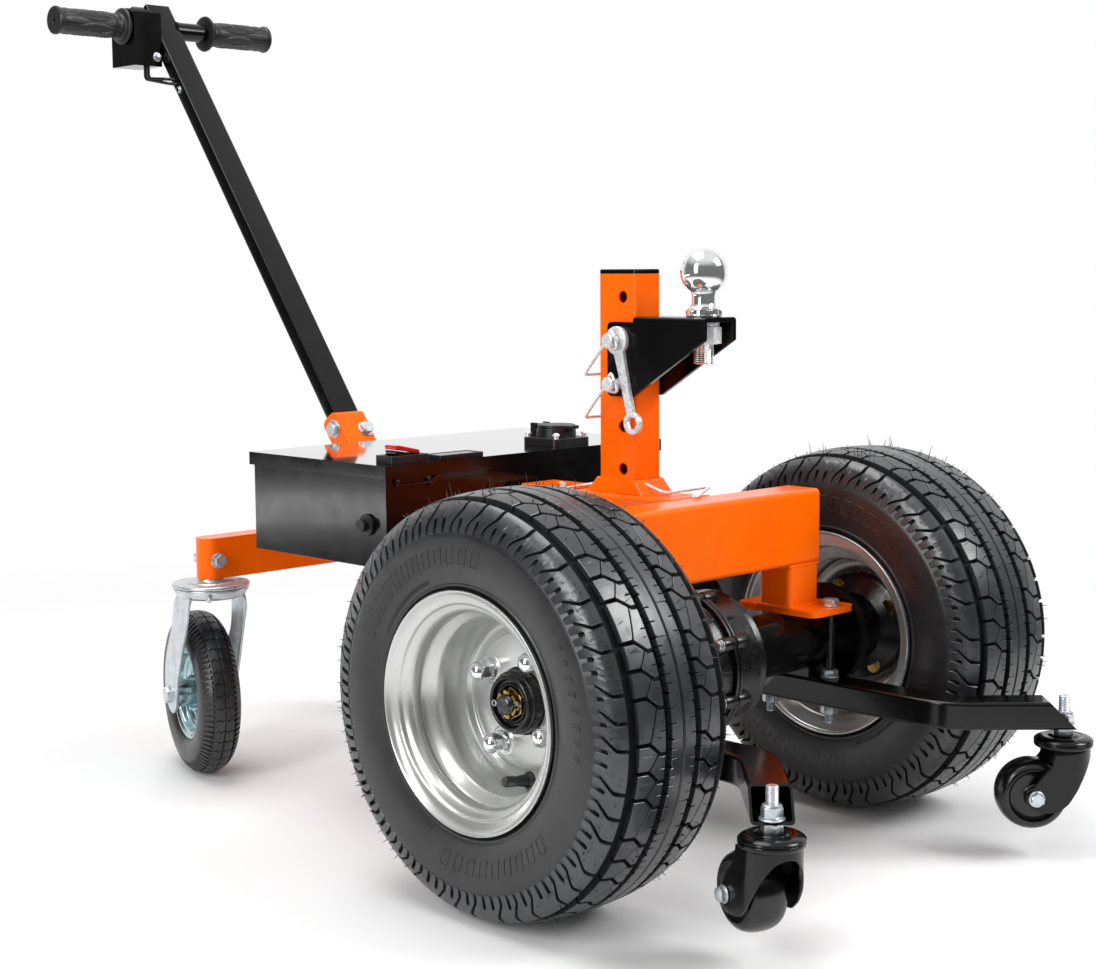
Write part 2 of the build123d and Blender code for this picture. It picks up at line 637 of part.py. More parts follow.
def handle_bracket_part():
    half = HANDLE_BRACKET_WIDTH / 2
    plate = HANDLE_BRACKET_PLATE
    front = POLE_DEPTH / 2 + BOLT_GAP + plate
    back = -HANDLE_BRACKET_BACK
    rear_bar_front = REAR_BAR_Y - REAR_BAR_DEPTH / 2

    def channel(inset, reach):
        """Side outline of the slanted head and of the post under it."""
        head = [along_pole(-HANDLE_BRACKET_BELOW, front - inset),
                along_pole(HANDLE_BRACKET_ABOVE, front - inset)]
        head += [along_pole(HANDLE_BRACKET_ABOVE, back - reach),
                 along_pole(-HANDLE_BRACKET_BELOW, back - reach)]
        rear_y = head[3][1]
        post = [(0, HANDLE_POST_FRONT_Y + inset, BOX_BOTTOM_Z),
                (0, HANDLE_POST_FRONT_Y + inset, HANDLE_POST_TOP_Z - 32)]
        post += [head[0], (0, rear_y, head[3][2]), (0, rear_y, REAR_BAR_TOP_Z)]
        post += [(0, rear_bar_front, REAR_BAR_TOP_Z), (0, rear_bar_front, BOX_BOTTOM_Z)]
        return make_face(Polyline(*head, close=True)) + make_face(Polyline(*post, close=True))

    body = extrude(channel(0, 0), amount=half, dir=(1, 0, 0), both=True)
    top_back = body.edges().filter_by(Axis.X).sort_by(Axis.Z)[-2:]
    body = fillet(top_back, 8.0)
    body -= extrude(channel(plate, 40), amount=half - plate, dir=(1, 0, 0), both=True)
    body -= block((-half + plate, half - plate), (rear_bar_front + 2, REAR_BAR_Y + 60),
                  (BOX_BOTTOM_Z + 10, HANDLE_POST_TOP_Z))
    body -= rod((-half - 1, POLE_FOOT_Y, POLE_FOOT_Z), (half + 1, POLE_FOOT_Y, POLE_FOOT_Z),
                HANDLE_BOLT_RADIUS + BOLT_GAP)
    lock_start = along_pole(-LOCK_BOLT_BELOW, front + 10, LOCK_BOLT_X)
    lock_end = along_pole(-LOCK_BOLT_BELOW, POLE_DEPTH / 2, LOCK_BOLT_X)
    body -= rod(lock_start, lock_end, HANDLE_BOLT_RADIUS + BOLT_GAP)
    add("handle_bracket", body)


# Mast
def mast_parts():
    plane = Plane(origin=(0, MAST_MID_Y, BEAM_TOP_Z), x_dir=(1, 0, 0), z_dir=(0, 0, 1))
    mast = square_tube(plane, MAST_TOP_Z - BEAM_TOP_Z, MAST_WIDTH, MAST_DEPTH, MAST_WALL, 4.0)
    for z in MAST_HOLE_ZS:
        mast -= rod((-60, MAST_HOLE_Y, z), (60, MAST_HOLE_Y, z), MAST_HOLE_RADIUS)
    add("mast", mast)

    plane = Plane(origin=(0, MAST_MID_Y, MAST_TOP_Z))
    cap = extrude(plane * RectangleRounded(MAST_WIDTH, MAST_DEPTH, 4.0), amount=MAST_CAP_RISE)
    cap = chamfer(cap.faces().sort_by(Axis.Z)[-1].edges(), 1.2)
    plug = RectangleRounded(MAST_WIDTH - 2 * MAST_WALL - 2 * LOOSE_GAP,
                            MAST_DEPTH - 2 * MAST_WALL - 2 * LOOSE_GAP, 1.5)
    cap += extrude(plane * plug, amount=-14)
    add("mast_cap", cap)

    outer_w = MAST_WIDTH + 2 * LOOSE_GAP + 2 * FOOT_WALL
    outer_d = MAST_DEPTH + 2 * LOOSE_GAP + 2 * FOOT_WALL
    low = Plane(origin=(0, MAST_MID_Y, BEAM_TOP_Z)) * RectangleRounded(outer_w, outer_d + 2 * FOOT_FLARE,
                                                                       14.0)
    high = Plane(origin=(0, MAST_MID_Y, BEAM_TOP_Z + FOOT_RISE)) * RectangleRounded(outer_w - 4,
                                                                                    outer_d - 4, 6.0)
    foot = loft([low, high])
    hole_w = MAST_WIDTH + 2 * LOOSE_GAP
    hole_d = MAST_DEPTH + 2 * LOOSE_GAP
    foot -= block((-hole_w / 2, hole_w / 2), (MAST_MID_Y - hole_d / 2, MAST_MID_Y + hole_d / 2),
                  (BEAM_TOP_Z - 1, BEAM_TOP_Z + FOOT_RISE + 1))
    add("mast_foot", foot)


def ball_mount_parts():
    inner = MAST_WIDTH / 2 + BRACKET_SIDE_GAP
    outer = inner + BRACKET_PLATE
    top = BRACKET_TOP_Z
    ear_top = top - BRACKET_EAR_DROP
    ear_bottom = ear_top - BRACKET_EAR_HEIGHT
    mast_front = MAST_FRONT_Y - BRACKET_SIDE_GAP
    outline = [
        (BRACKET_FRONT_Y, top), (mast_front, top), (mast_front, ear_top), (BRACKET_REAR_Y, ear_top),
        (BRACKET_REAR_Y, ear_bottom), (MAST_FRONT_Y, ear_bottom), (BRACKET_FRONT_Y,
                                                                   top - BRACKET_NOSE_HEIGHT),
    ]
    side = make_face(Polyline(*[(0, y, z) for y, z in outline], close=True))
    side = Pos(-outer, 0, 0) * extrude(side, amount=BRACKET_PLATE, dir=(1, 0, 0))
    corners = side.edges().filter_by(Axis.X).group_by(Axis.Y)[-1]
    side = fillet(corners, 6.0)
    roof = block((-inner, inner), (BRACKET_FRONT_Y, mast_front), (top - BRACKET_PLATE, top))
    body = side + mirror(side, Plane.YZ) + roof
    long_edges = [e for e in body.edges().filter_by(Axis.Y) if e.center().Z > top - 0.1 and abs(e.center().X) > outer - 0.1]
    body = fillet(long_edges, 4.0)
    body -= rod((0, BALL_Y, top - 20), (0, BALL_Y, top + 5), BALL_SHANK_RADIUS + BOLT_GAP)
    for z in PIN_ZS:
        body -= rod((-outer - 1, MAST_HOLE_Y, z), (outer + 1, MAST_HOLE_Y, z), MAST_HOLE_RADIUS)
    add("ball_bracket", body)

    ball = Pos(0, BALL_Y, BALL_Z) * Sphere(BALL_RADIUS)
    ball -= block((-30, 30), (BALL_Y - 30, BALL_Y + 30), (BALL_Z + BALL_RADIUS - 1.5, BALL_Z + 40))
    collar_top = top + BALL_COLLAR_HEIGHT
    ball += rod((0, BALL_Y, collar_top - 1), (0, BALL_Y, BALL_Z - 10), BALL_NECK_RADIUS)
    ball += Pos(0, BALL_Y, top) * Cone(BALL_COLLAR_RADIUS, BALL_COLLAR_RADIUS - 2, BALL_COLLAR_HEIGHT,
                                      align=(Align.CENTER, Align.CENTER, Align.MIN))
    ball += rod((0, BALL_Y, BALL_SHANK_END_Z), (0, BALL_Y, top + 1), BALL_SHANK_RADIUS)
    add("tow_ball", ball)

    under = top - BRACKET_PLATE
    washer = ring((0, BALL_Y, under - BALL_WASHER_HEIGHT), (0, BALL_Y, under), BALL_NUT_FLATS / 2,
                  BALL_SHANK_RADIUS + RUNNING_GAP)
    nut_top = under - BALL_WASHER_HEIGHT
    nut = hexagon((0, BALL_Y, nut_top - BALL_NUT_HEIGHT), (0, BALL_Y, nut_top), BALL_NUT_FLATS)
    nut -= rod((0, BALL_Y, nut_top - 40), (0, BALL_Y, nut_top + 1), BALL_SHANK_RADIUS + RUNNING_GAP)
    add("ball_nut", washer, nut)


def lock_pin(y, z, near, far):
    """A headed pin across the machine, with its head on the right-hand side."""
    pin = rod((-near, y, z), (far, y, z), LOCK_PIN_RADIUS)
    return pin + rod((-near, y, z), (-near + LOCK_PIN_HEAD_LENGTH, y, z), LOCK_PIN_HEAD_RADIUS)


def wire(points, bend):
    """A bent wire through the points, its corners rounded."""
    line = FilletPolyline(*points, radius=bend)
    start = Plane(origin=line @ 0, z_dir=line % 0)
    return sweep(start * Circle(BAIL_WIRE_RADIUS), path=line)


def pin_parts():
    for z, name in zip(PIN_ZS, ("bail_upper", "bail_lower")):
        add("lock_pins", lock_pin(MAST_HOLE_Y, z, LOCK_PIN_OUT, LOCK_PIN_TIP))
        back = MAST_FRONT_Y + MAST_DEPTH + LOOSE_GAP + BAIL_WIRE_RADIUS
        start_y = MAST_HOLE_Y + LOCK_PIN_RADIUS + BAIL_EYE_WALL / 2
        near = -BAIL_NEAR_X
        far = LOCK_PIN_TIP - 5
        points = [(near, start_y, z), (near, back, z - BAIL_DROP), (far, back, z - BAIL_DROP),
                  (far, start_y, z)]
        loop = wire(points, 6.0)
        for x in (near, far):
            loop += ring((x - BAIL_EYE_HALF, MAST_HOLE_Y, z), (x + BAIL_EYE_HALF, MAST_HOLE_Y, z),
                         LOCK_PIN_RADIUS + BAIL_EYE_WALL, LOCK_PIN_RADIUS + RUNNING_GAP)
        add(name, loop)


def spanner_part():
    """A flat spanner that hangs on the upper pin and leans against the lower one."""
    outer = MAST_WIDTH / 2 + BRACKET_SIDE_GAP + BRACKET_PLATE
    reach = LOCK_PIN_RADIUS + SPANNER_NECK_WIDTH / 2 + LOOSE_GAP
    lean = degrees(asin(reach / MAST_HOLE_PITCH))
    outline = Circle(SPANNER_HEAD_RADIUS) + Pos(0, -SPANNER_LENGTH) * Circle(SPANNER_TAIL_RADIUS)
    outline += Pos(0, -SPANNER_LENGTH / 2) * Rectangle(SPANNER_NECK_WIDTH, SPANNER_LENGTH)
    outline -= Circle(LOCK_PIN_RADIUS + RUNNING_GAP)
    outline -= Pos(0, -SPANNER_LENGTH) * RegularPolygon(SPANNER_TAIL_FLATS / 2, 6, False)
    seat = Plane(origin=(-outer - LOOSE_GAP - SPANNER_THICKNESS, MAST_HOLE_Y, PIN_ZS[0]), x_dir=(0, 1, 0),
                 z_dir=(1, 0, 0))
    flat = extrude(outline, amount=SPANNER_THICKNESS)
    add("spanner", seat.location * Rot(0, 0, -lean) * flat)


# Battery box
def box_parts():
    half = BOX_HALF_WIDTH
    top = LID_UNDER_Z - LOOSE_GAP
    y = (BOX_FRONT_Y, BOX_REAR_Y)
    shell = block((-half, half), y, (BOX_BOTTOM_Z, top))
    shell -= block((-half + BOX_WALL, half - BOX_WALL), (y[0] + BOX_WALL, y[1] - BOX_WALL),
                   (BOX_BOTTOM_Z + BOX_WALL, top + 1))
    shell -= rod((-half - 1, BREAKER_Y, BREAKER_Z), (-half + 5, BREAKER_Y, BREAKER_Z), 8.0 + RUNNING_GAP)
    add("battery_box", shell)

    floor = BOX_BOTTOM_Z + BOX_WALL
    mid_y = (y[0] + y[1]) / 2
    first = mid_y - BATTERY_DEPTH - BATTERY_GAP / 2
    for low in (first, first + BATTERY_DEPTH + BATTERY_GAP):
        case = block((-10, BATTERY_LENGTH - 10), (low, low + BATTERY_DEPTH), (floor, floor + BATTERY_HEIGHT))
        case = fillet(case.edges().filter_by(Axis.Z), 4.0)
        for x in (8, BATTERY_LENGTH - 28):
            case += rod((x, low + 16, floor + BATTERY_HEIGHT - 1),
                        (x, low + 16, floor + BATTERY_HEIGHT + 6), 6.0)
        add("batteries", case)
    unit = block((-170, -170 + CONTROLLER_LENGTH), (mid_y - CONTROLLER_DEPTH / 2,
                                                    mid_y + CONTROLLER_DEPTH / 2),
                 (floor, floor + CONTROLLER_HEIGHT))
    for n in range(6):
        x = -160 + n * 20
        unit -= block((x, x + 8), (mid_y - CONTROLLER_DEPTH, mid_y + CONTROLLER_DEPTH),
                      (floor + CONTROLLER_HEIGHT - 8, floor + CONTROLLER_HEIGHT + 1))
    add("motor_controller", unit)

    nose = -half - 7
    button = rod((-half, BREAKER_Y, BREAKER_Z), (-half - 4, BREAKER_Y, BREAKER_Z), 12.0)
    button += rod((-half - 4, BREAKER_Y, BREAKER_Z), (nose - 5, BREAKER_Y, BREAKER_Z), 7.0)
    button += rod((-half, BREAKER_Y, BREAKER_Z), (-half + 30, BREAKER_Y, BREAKER_Z), 8.0)
    add("breaker_button", button)


def lid_parts():
    half = BOX_HALF_WIDTH + LID_OVERHANG
    front = BOX_FRONT_Y - LID_OVERHANG
    rear = BOX_REAR_Y + LID_OVERHANG
    lid = block((-half, half), (front, rear), (LID_TOP_Z - LID_SKIRT, LID_TOP_Z))
    lid -= block((-half + LID_WALL, half - LID_WALL), (front + LID_WALL, rear - LID_WALL),
                 (LID_TOP_Z - LID_SKIRT - 1, LID_UNDER_Z))
    lid -= rod((SOCKET_X, SOCKET_Y, LID_UNDER_Z - 1), (SOCKET_X, SOCKET_Y, LID_TOP_Z + 1), SOCKET_RADIUS - 2)

    hinge_y = rear + LID_HINGE_RADIUS
    hinge_z = LID_TOP_Z - LID_SKIRT - LID_HINGE_RADIUS
    middle = LID_HINGE_LENGTH / 4
    for x in (-LID_HINGE_X, LID_HINGE_X):
        end = LID_HINGE_LENGTH / 2
        knuckle = rod((x - middle, hinge_y, hinge_z), (x + middle, hinge_y, hinge_z), LID_HINGE_RADIUS)
        knuckle += rod((x - end, hinge_y, hinge_z), (x + end, hinge_y, hinge_z), LID_PIN_RADIUS)
        knuckle += block((x - middle, x + middle), (BOX_REAR_Y, hinge_y),
                         (hinge_z - LID_HINGE_RADIUS, hinge_z - 1))
        knuckle += block((x - end, x + end), (BOX_REAR_Y, BOX_REAR_Y + LID_LEAF),
                         (hinge_z - LID_LEAF_HEIGHT, hinge_z - LID_HINGE_RADIUS))
        knuckle += block((x - middle, x + middle), (BOX_REAR_Y, BOX_REAR_Y + LID_LEAF),
                         (hinge_z - 5, hinge_z - 1))
        add("lid_hinges", knuckle)
        for side in (-1, 1):
            near = x + side * (middle + LOOSE_GAP)
            far = x + side * (end - 1)
            sleeve = ring((near, hinge_y, hinge_z), (far, hinge_y, hinge_z), LID_HINGE_RADIUS,
                          LID_PIN_RADIUS + RUNNING_GAP)
            span = (min(near, far), max(near, far))
            leaf = block(span, (rear, rear + LID_LEAF), (hinge_z, LID_TOP_Z - 2))
            sleeve += leaf - rod((span[0] - 1, hinge_y, hinge_z), (span[1] + 1, hinge_y, hinge_z),
                                 LID_HINGE_RADIUS - 0.5)
            lid += sleeve
    add("box_lid", lid)

    top = LID_TOP_Z
    housing = block((ROCKER_X - SWITCH_LENGTH / 2, ROCKER_X + SWITCH_LENGTH / 2),
                    (ROCKER_Y - SWITCH_WIDTH / 2, ROCKER_Y + SWITCH_WIDTH / 2), (top, top + SWITCH_RISE))
    housing = fillet(housing.edges().filter_by(Axis.Z), 3.0)
    pocket = ROCKER_LENGTH / 2 + 1
    housing -= block((ROCKER_X - pocket, ROCKER_X + pocket),
                     (ROCKER_Y - ROCKER_WIDTH / 2 - 0.5, ROCKER_Y + ROCKER_WIDTH / 2 + 0.5),
                     (top + 1.5, top + SWITCH_RISE + 1))
    gauge = block((GAUGE_X - GAUGE_LENGTH / 2, GAUGE_X + GAUGE_LENGTH / 2),
                  (GAUGE_Y - GAUGE_WIDTH / 2, GAUGE_Y + GAUGE_WIDTH / 2), (top, top + GAUGE_RISE))
    gauge = fillet(gauge.edges().filter_by(Axis.Z), 3.0)
    gauge -= block((GAUGE_X - GAUGE_LENGTH / 2 + 4, GAUGE_X + GAUGE_LENGTH / 2 - 4),
                   (GAUGE_Y - GAUGE_WIDTH / 2 + 5, GAUGE_Y + GAUGE_WIDTH / 2 - 5), (top + GAUGE_RISE - 1,
                                                                                    top + GAUGE_RISE + 1))
    add("lid_fittings", housing, gauge)

    pivot_z = top + SWITCH_RISE
    outline = [(-ROCKER_LENGTH / 2, 3.5), (0, 1.5), (ROCKER_LENGTH / 2, 3.5), (ROCKER_LENGTH / 2, -1),
               (0, -6.5), (-ROCKER_LENGTH / 2, -1)]
    rocker = make_face(Polyline(*[(x, 0, z) for x, z in outline], close=True))
    rocker = extrude(rocker, amount=ROCKER_WIDTH / 2, dir=(0, 1, 0), both=True)
    add("main_rocker", Pos(ROCKER_X, ROCKER_Y, pivot_z + 2) * Rot(0, ROCKER_TILT, 0) * rocker)

    half = SOCKET_PLATE / 2
    base = extrude(Plane(origin=(SOCKET_X, SOCKET_Y, top)) * RectangleRounded(SOCKET_PLATE, SOCKET_PLATE,
                                                                              8.0), amount=SOCKET_PLATE_RISE)
    base += rod((SOCKET_X, SOCKET_Y, top), (SOCKET_X, SOCKET_Y, top + SOCKET_RISE), SOCKET_RADIUS)
    base += rod((SOCKET_X, SOCKET_Y, top - 22), (SOCKET_X, SOCKET_Y, top + 1), SOCKET_RADIUS - 2 - LOOSE_GAP)
    base -= rod((SOCKET_X, SOCKET_Y, top - 14), (SOCKET_X, SOCKET_Y, top + SOCKET_RISE + 1),
                SOCKET_BORE_RADIUS)
    for n in range(3):
        angle = radians(120 * n + 90)
        x = SOCKET_X + 8 * cos(angle)
        y = SOCKET_Y + 8 * sin(angle)
        base += rod((x, y, top - 15), (x, y, top + 8), 2.5)
    ear_y = SOCKET_Y + SOCKET_RADIUS + 4
    pin_z = top + SOCKET_RISE + LOOSE_GAP + CAP_THICKNESS / 2
    for x in (SOCKET_X - 13, SOCKET_X + 8):
        base += block((x, x + 5), (ear_y - 4, ear_y + 4), (top + SOCKET_PLATE_RISE - 1, pin_z + 3))
    wall_y = SOCKET_Y + SOCKET_BORE_RADIUS + 2
    base += block((SOCKET_X - 13, SOCKET_X + 13), (wall_y, ear_y + 2),
                  (top + SOCKET_PLATE_RISE - 1, pin_z - CAP_THICKNESS))
    add("socket_base", base)

    lid_low = top + SOCKET_RISE + LOOSE_GAP
    cap = rod((SOCKET_X, SOCKET_Y, lid_low), (SOCKET_X, SOCKET_Y, lid_low + CAP_THICKNESS), SOCKET_RADIUS - 1)
    cap += block((SOCKET_X - 8 + LOOSE_GAP, SOCKET_X + 8 - LOOSE_GAP), (SOCKET_Y, ear_y),
                 (lid_low, lid_low + CAP_THICKNESS))
    cap += rod((SOCKET_X - 8 + LOOSE_GAP, ear_y, pin_z), (SOCKET_X + 8 - LOOSE_GAP, ear_y, pin_z),
               CAP_THICKNESS / 2)
    tab_y = SOCKET_Y - SOCKET_RADIUS
    cap += block((SOCKET_X - 8, SOCKET_X + 8), (tab_y - 7, tab_y + 4), (lid_low, lid_low + CAP_THICKNESS))
    add("socket_cap", cap)


# Handle
def pole_frame():
    """Plane whose X runs across the machine and whose Z climbs along the pole."""
    lean = radians(POLE_LEAN)
    return Plane(origin=(0, POLE_FOOT_Y, POLE_FOOT_Z), x_dir=(1, 0, 0), z_dir=(0, sin(lean), cos(lean)))


def along_pole(distance, forward=0.0, across=0.0):
    """A point given by its distance up the pole, its offset to the front and across."""
    lean = radians(POLE_LEAN)
    y = POLE_FOOT_Y + distance * sin(lean) - forward * cos(lean)
    z = POLE_FOOT_Z + distance * cos(lean) + forward * sin(lean)
    return (across, y, z)


def handle_parts():
    base = pole_frame().offset(-POLE_BELOW)
    pole = square_tube(base, POLE_LENGTH + POLE_BELOW, POLE_WIDTH, POLE_DEPTH, POLE_WALL, 3.0)
    cap_plane = pole_frame().offset(POLE_LENGTH)
    pole += extrude(cap_plane * RectangleRounded(POLE_WIDTH, POLE_DEPTH, 3.0), amount=-3)
    pole -= rod((-30, POLE_FOOT_Y, POLE_FOOT_Z), (30, POLE_FOOT_Y, POLE_FOOT_Z),
                HANDLE_BOLT_RADIUS + BOLT_GAP)
    lock_hole = (along_pole(-LOCK_BOLT_BELOW, POLE_DEPTH, LOCK_BOLT_X),
                 along_pole(-LOCK_BOLT_BELOW, 0, LOCK_BOLT_X))
    pole -= rod(*lock_hole, HANDLE_BOLT_RADIUS + BOLT_GAP)
    bar_y, bar_z = along_pole(TBAR_ALONG)[1:]
    pole -= rod((-30, bar_y, bar_z), (30, bar_y, bar_z), TBAR_RADIUS)
    add("handle_pole", pole)

    add("t_bar", ring((-TBAR_HALF, bar_y, bar_z), (TBAR_HALF, bar_y, bar_z), TBAR_RADIUS, TBAR_RADIUS - 2))

    for side, name in ((1, "fixed_grip"), (-1, "throttle_grip")):
        inner = side * GRIP_INNER_X
        end = side * (TBAR_HALF + GRIP_END)
        grip = ring((inner, bar_y, bar_z), (side * TBAR_HALF, bar_y, bar_z), GRIP_RADIUS,
                    TBAR_RADIUS + RUNNING_GAP)
        grip += rod((side * TBAR_HALF, bar_y, bar_z), (end, bar_y, bar_z), GRIP_RADIUS + 1)
        grip += ring((inner, bar_y, bar_z), (inner + side * GRIP_FLANGE_THICKNESS, bar_y, bar_z),
                     GRIP_FLANGE_RADIUS, TBAR_RADIUS + RUNNING_GAP)
        for n in range(6):
            angle = radians(60 * n + 30)
            y = bar_y + (GRIP_RADIUS + 0.6) * cos(angle)
            z = bar_z + (GRIP_RADIUS + 0.6) * sin(angle)
            grip -= rod((inner + side * 22, y, z), (inner + side * 84, y, z), 2.0)
        add(name, grip)

    box_x = (-POLE_WIDTH / 2 - CONTROL_BOX_WIDTH, -POLE_WIDTH / 2)
    box_y = (bar_y - CONTROL_BOX_FRONT, bar_y + CONTROL_BOX_BACK)
    box_z = (bar_z - CONTROL_BOX_DROP, bar_z + CONTROL_BOX_RISE)
    wall = CONTROL_BOX_WALL
    shell = block(box_x, box_y, box_z)
    shell -= block((box_x[0] + wall, box_x[1] - wall), (box_y[0] + wall, box_y[1] - wall),
                   (box_z[0] + wall, box_z[1] - wall))
    shell -= rod((box_x[0] - 1, bar_y, bar_z), (box_x[1] + 1, bar_y, bar_z), TBAR_RADIUS + RUNNING_GAP)
    switch_x = (box_x[0] + box_x[1]) / 2
    switch_y = bar_y + 8
    half = SWITCH_BODY / 2
    rim = half + SWITCH_BEZEL
    pin_z = box_z[1] + SWITCH_PIN_RISE
    shell += block((switch_x - rim, switch_x + rim), (switch_y - rim, switch_y + rim),
                   (box_z[1] - wall, pin_z + 2))
    shell -= block((switch_x - half, switch_x + half), (switch_y - half, switch_y + half),
                   (box_z[1] - wall - 1, pin_z + 3))
    shell -= rod((switch_x - rim - 1, switch_y, pin_z), (switch_x + rim + 1, switch_y, pin_z),
                 SWITCH_PIN_RADIUS + RUNNING_GAP)
    add("control_box", shell)

    lever = block((switch_x - half + 1, switch_x + half - 1), (switch_y - half + 1, switch_y + half - 1),
                  (pin_z - 1, pin_z + 4))
    lever += rod((switch_x - rim, switch_y, pin_z), (switch_x + rim, switch_y, pin_z), SWITCH_PIN_RADIUS)
    add("direction_switch", lever)

    side_x = -POLE_WIDTH / 2
    for shift in (0.0, 8.0):
        start = (side_x - 14, box_y[0] + 14 + shift, box_z[0])
        drop = (side_x - 14, box_y[0] + 14 + shift, box_z[0] - 16)
        entry = along_pole(TBAR_ALONG - 92 - shift, 0, side_x)
        before = (side_x - 14, entry[1], entry[2])
        cable = FilletPolyline(start, drop, before, entry, radius=CABLE_BEND)
        section = Plane(origin=cable @ 0, z_dir=cable % 0) * Circle(CABLE_RADIUS)
        add("handle_cables", sweep(section, path=cable))


# Bolts of the frame
def bolt(start, end, radius, flats):
    """A hexagon bolt from its head's seat to its tip, with a washer and a nut near the tip."""
    axis = (Vector(*end) - Vector(*start)).normalized()
    head_top = Vector(*start) - axis * radius * 1.3
    body = rod(start, end, radius)
    return body + hexagon(tuple(head_top), tuple(start), flats)


def frame_bolts():
    solids = []
    for x in (-CLAMP_BOLT_X, CLAMP_BOLT_X):
        for y in (-CLAMP_BOLT_Y, CLAMP_BOLT_Y):
            top = FLANGE_BOTTOM_Z + FLANGE_THICKNESS
            solids.append(bolt((x, y, top), (x, y, ARM_BOTTOM_Z - 22), CLAMP_BOLT_RADIUS, 17.0))
            nut = hexagon((x, y, ARM_BOTTOM_Z - 10), (x, y, ARM_BOTTOM_Z), 17.0)
            solids.append(nut - rod((x, y, ARM_BOTTOM_Z - 30), (x, y, ARM_BOTTOM_Z + 1),
                                    CLAMP_BOLT_RADIUS + RUNNING_GAP))
    for x in (-REAR_CASTER_X, REAR_CASTER_X):
        y = REAR_BAR_DEPTH / 2
        solids.append(bolt((x, REAR_BAR_Y - y, REAR_CROSS_BOLT_Z),
                           (x, REAR_BAR_Y + y + 14, REAR_CROSS_BOLT_Z), CLAMP_BOLT_RADIUS, 15.0))
        nut = hexagon((x, REAR_BAR_Y + y, REAR_CROSS_BOLT_Z), (x, REAR_BAR_Y + y + 8, REAR_CROSS_BOLT_Z),
                      15.0)
        solids.append(nut - rod((x, REAR_BAR_Y, REAR_CROSS_BOLT_Z),
                                (x, REAR_BAR_Y + 60, REAR_CROSS_BOLT_Z), CLAMP_BOLT_RADIUS + RUNNING_GAP))
    half = HANDLE_BRACKET_WIDTH / 2
    y, z = POLE_FOOT_Y, POLE_FOOT_Z
    solids.append(bolt((-half, y, z), (half + 14, y, z), HANDLE_BOLT_RADIUS, 16.0))
    nut = hexagon((half, y, z), (half + 8, y, z), 16.0)
    solids.append(nut - rod((0, y, z), (60, y, z), HANDLE_BOLT_RADIUS + RUNNING_GAP))
    plate_face = POLE_DEPTH / 2 + BOLT_GAP + HANDLE_BRACKET_PLATE
    lock = (along_pole(-LOCK_BOLT_BELOW, plate_face, LOCK_BOLT_X),
            along_pole(-LOCK_BOLT_BELOW, 2, LOCK_BOLT_X))
    solids.append(bolt(*lock, HANDLE_BOLT_RADIUS, 16.0))
    add("frame_bolts", *solids)


# Rear casters, modelled with the swivel axis at X = Y = 0 and the wheel trailing towards +Y
def rear_wheel_shapes(inner_half):
    r = REAR_WHEEL_RADIUS
    w = REAR_WHEEL_HALF_WIDTH
    rim = REAR_RIM_RADIUS
    lip = rim + REAR_RIM_LIP
    wall = REAR_RIM_WALL
    seat = w - 8
    bead = rim + LOOSE_GAP
    outline = [
        ThreePointArc((-w + 5, r - 11), (0, r), (w - 5, r - 11)),
        ThreePointArc((w - 5, r - 11), (w, r - 27), (w - 4, lip + 3)),
        Polyline((w - 4, lip + 3), (seat - LOOSE_GAP, lip), (seat - LOOSE_GAP, bead),
                 (-seat + LOOSE_GAP, bead),
                 (-seat + LOOSE_GAP, lip), (-w + 4, lip + 3)),
        ThreePointArc((-w + 4, lip + 3), (-w, r - 27), (-w + 5, r - 11)),
    ]
    tyre = revolve(Plane.XY * make_face(outline), Axis.X, 360)

    bore = REAR_AXLE_RADIUS + RUNNING_GAP
    hub_end = inner_half - BOLT_GAP
    right = [(seat, lip), (seat + wall, lip), (seat + wall, rim - wall), (wall, rim - wall), (wall, rim - 16)]
    right += [(wall + 3, REAR_HUB_RADIUS + 5), (wall + 3, REAR_HUB_RADIUS), (hub_end, REAR_HUB_RADIUS),
              (hub_end, bore)]
    left = [(-x, radius) for x, radius in reversed(right)]
    profile = [(-seat, rim), (seat, rim)] + right + left
    wheel = turned(profile)
    for n in range(REAR_HOLE_COUNT):
        hole = rod((-20, 0, REAR_HOLE_CIRCLE), (20, 0, REAR_HOLE_CIRCLE), REAR_HOLE_RADIUS)
        wheel -= Rot(360 * n / REAR_HOLE_COUNT, 0, 0) * hole
    return tyre, wheel


def rear_fork_leg(half, race_bottom):
    """One pressed leg, its outer face at X = -half at the wheel's axle."""
    axle_z = REAR_WHEEL_RADIUS
    trail = REAR_TRAIL
    top_z = race_bottom + 3
    front = [(-26, top_z), (-20, race_bottom - 22), (trail - 34, axle_z + 28), (trail - 22, axle_z)]
    foot = [(trail - 12, axle_z - 20), (trail + 2, axle_z - 26), (trail + 16, axle_z - 18)]
    rear = [(trail + 25, axle_z + 8), (trail + 20, axle_z + 38), (34, race_bottom - 24), (28, top_z)]
    outline = Polyline(*[(0, y, z) for y, z in front + foot + rear], close=True)
    leg = Pos(-half, 0, 0) * extrude(make_face(outline), amount=REAR_FORK_PLATE, dir=(1, 0, 0))
    return leg - rod((-half - 1, trail, axle_z), (half, trail, axle_z), REAR_AXLE_RADIUS + RUNNING_GAP)


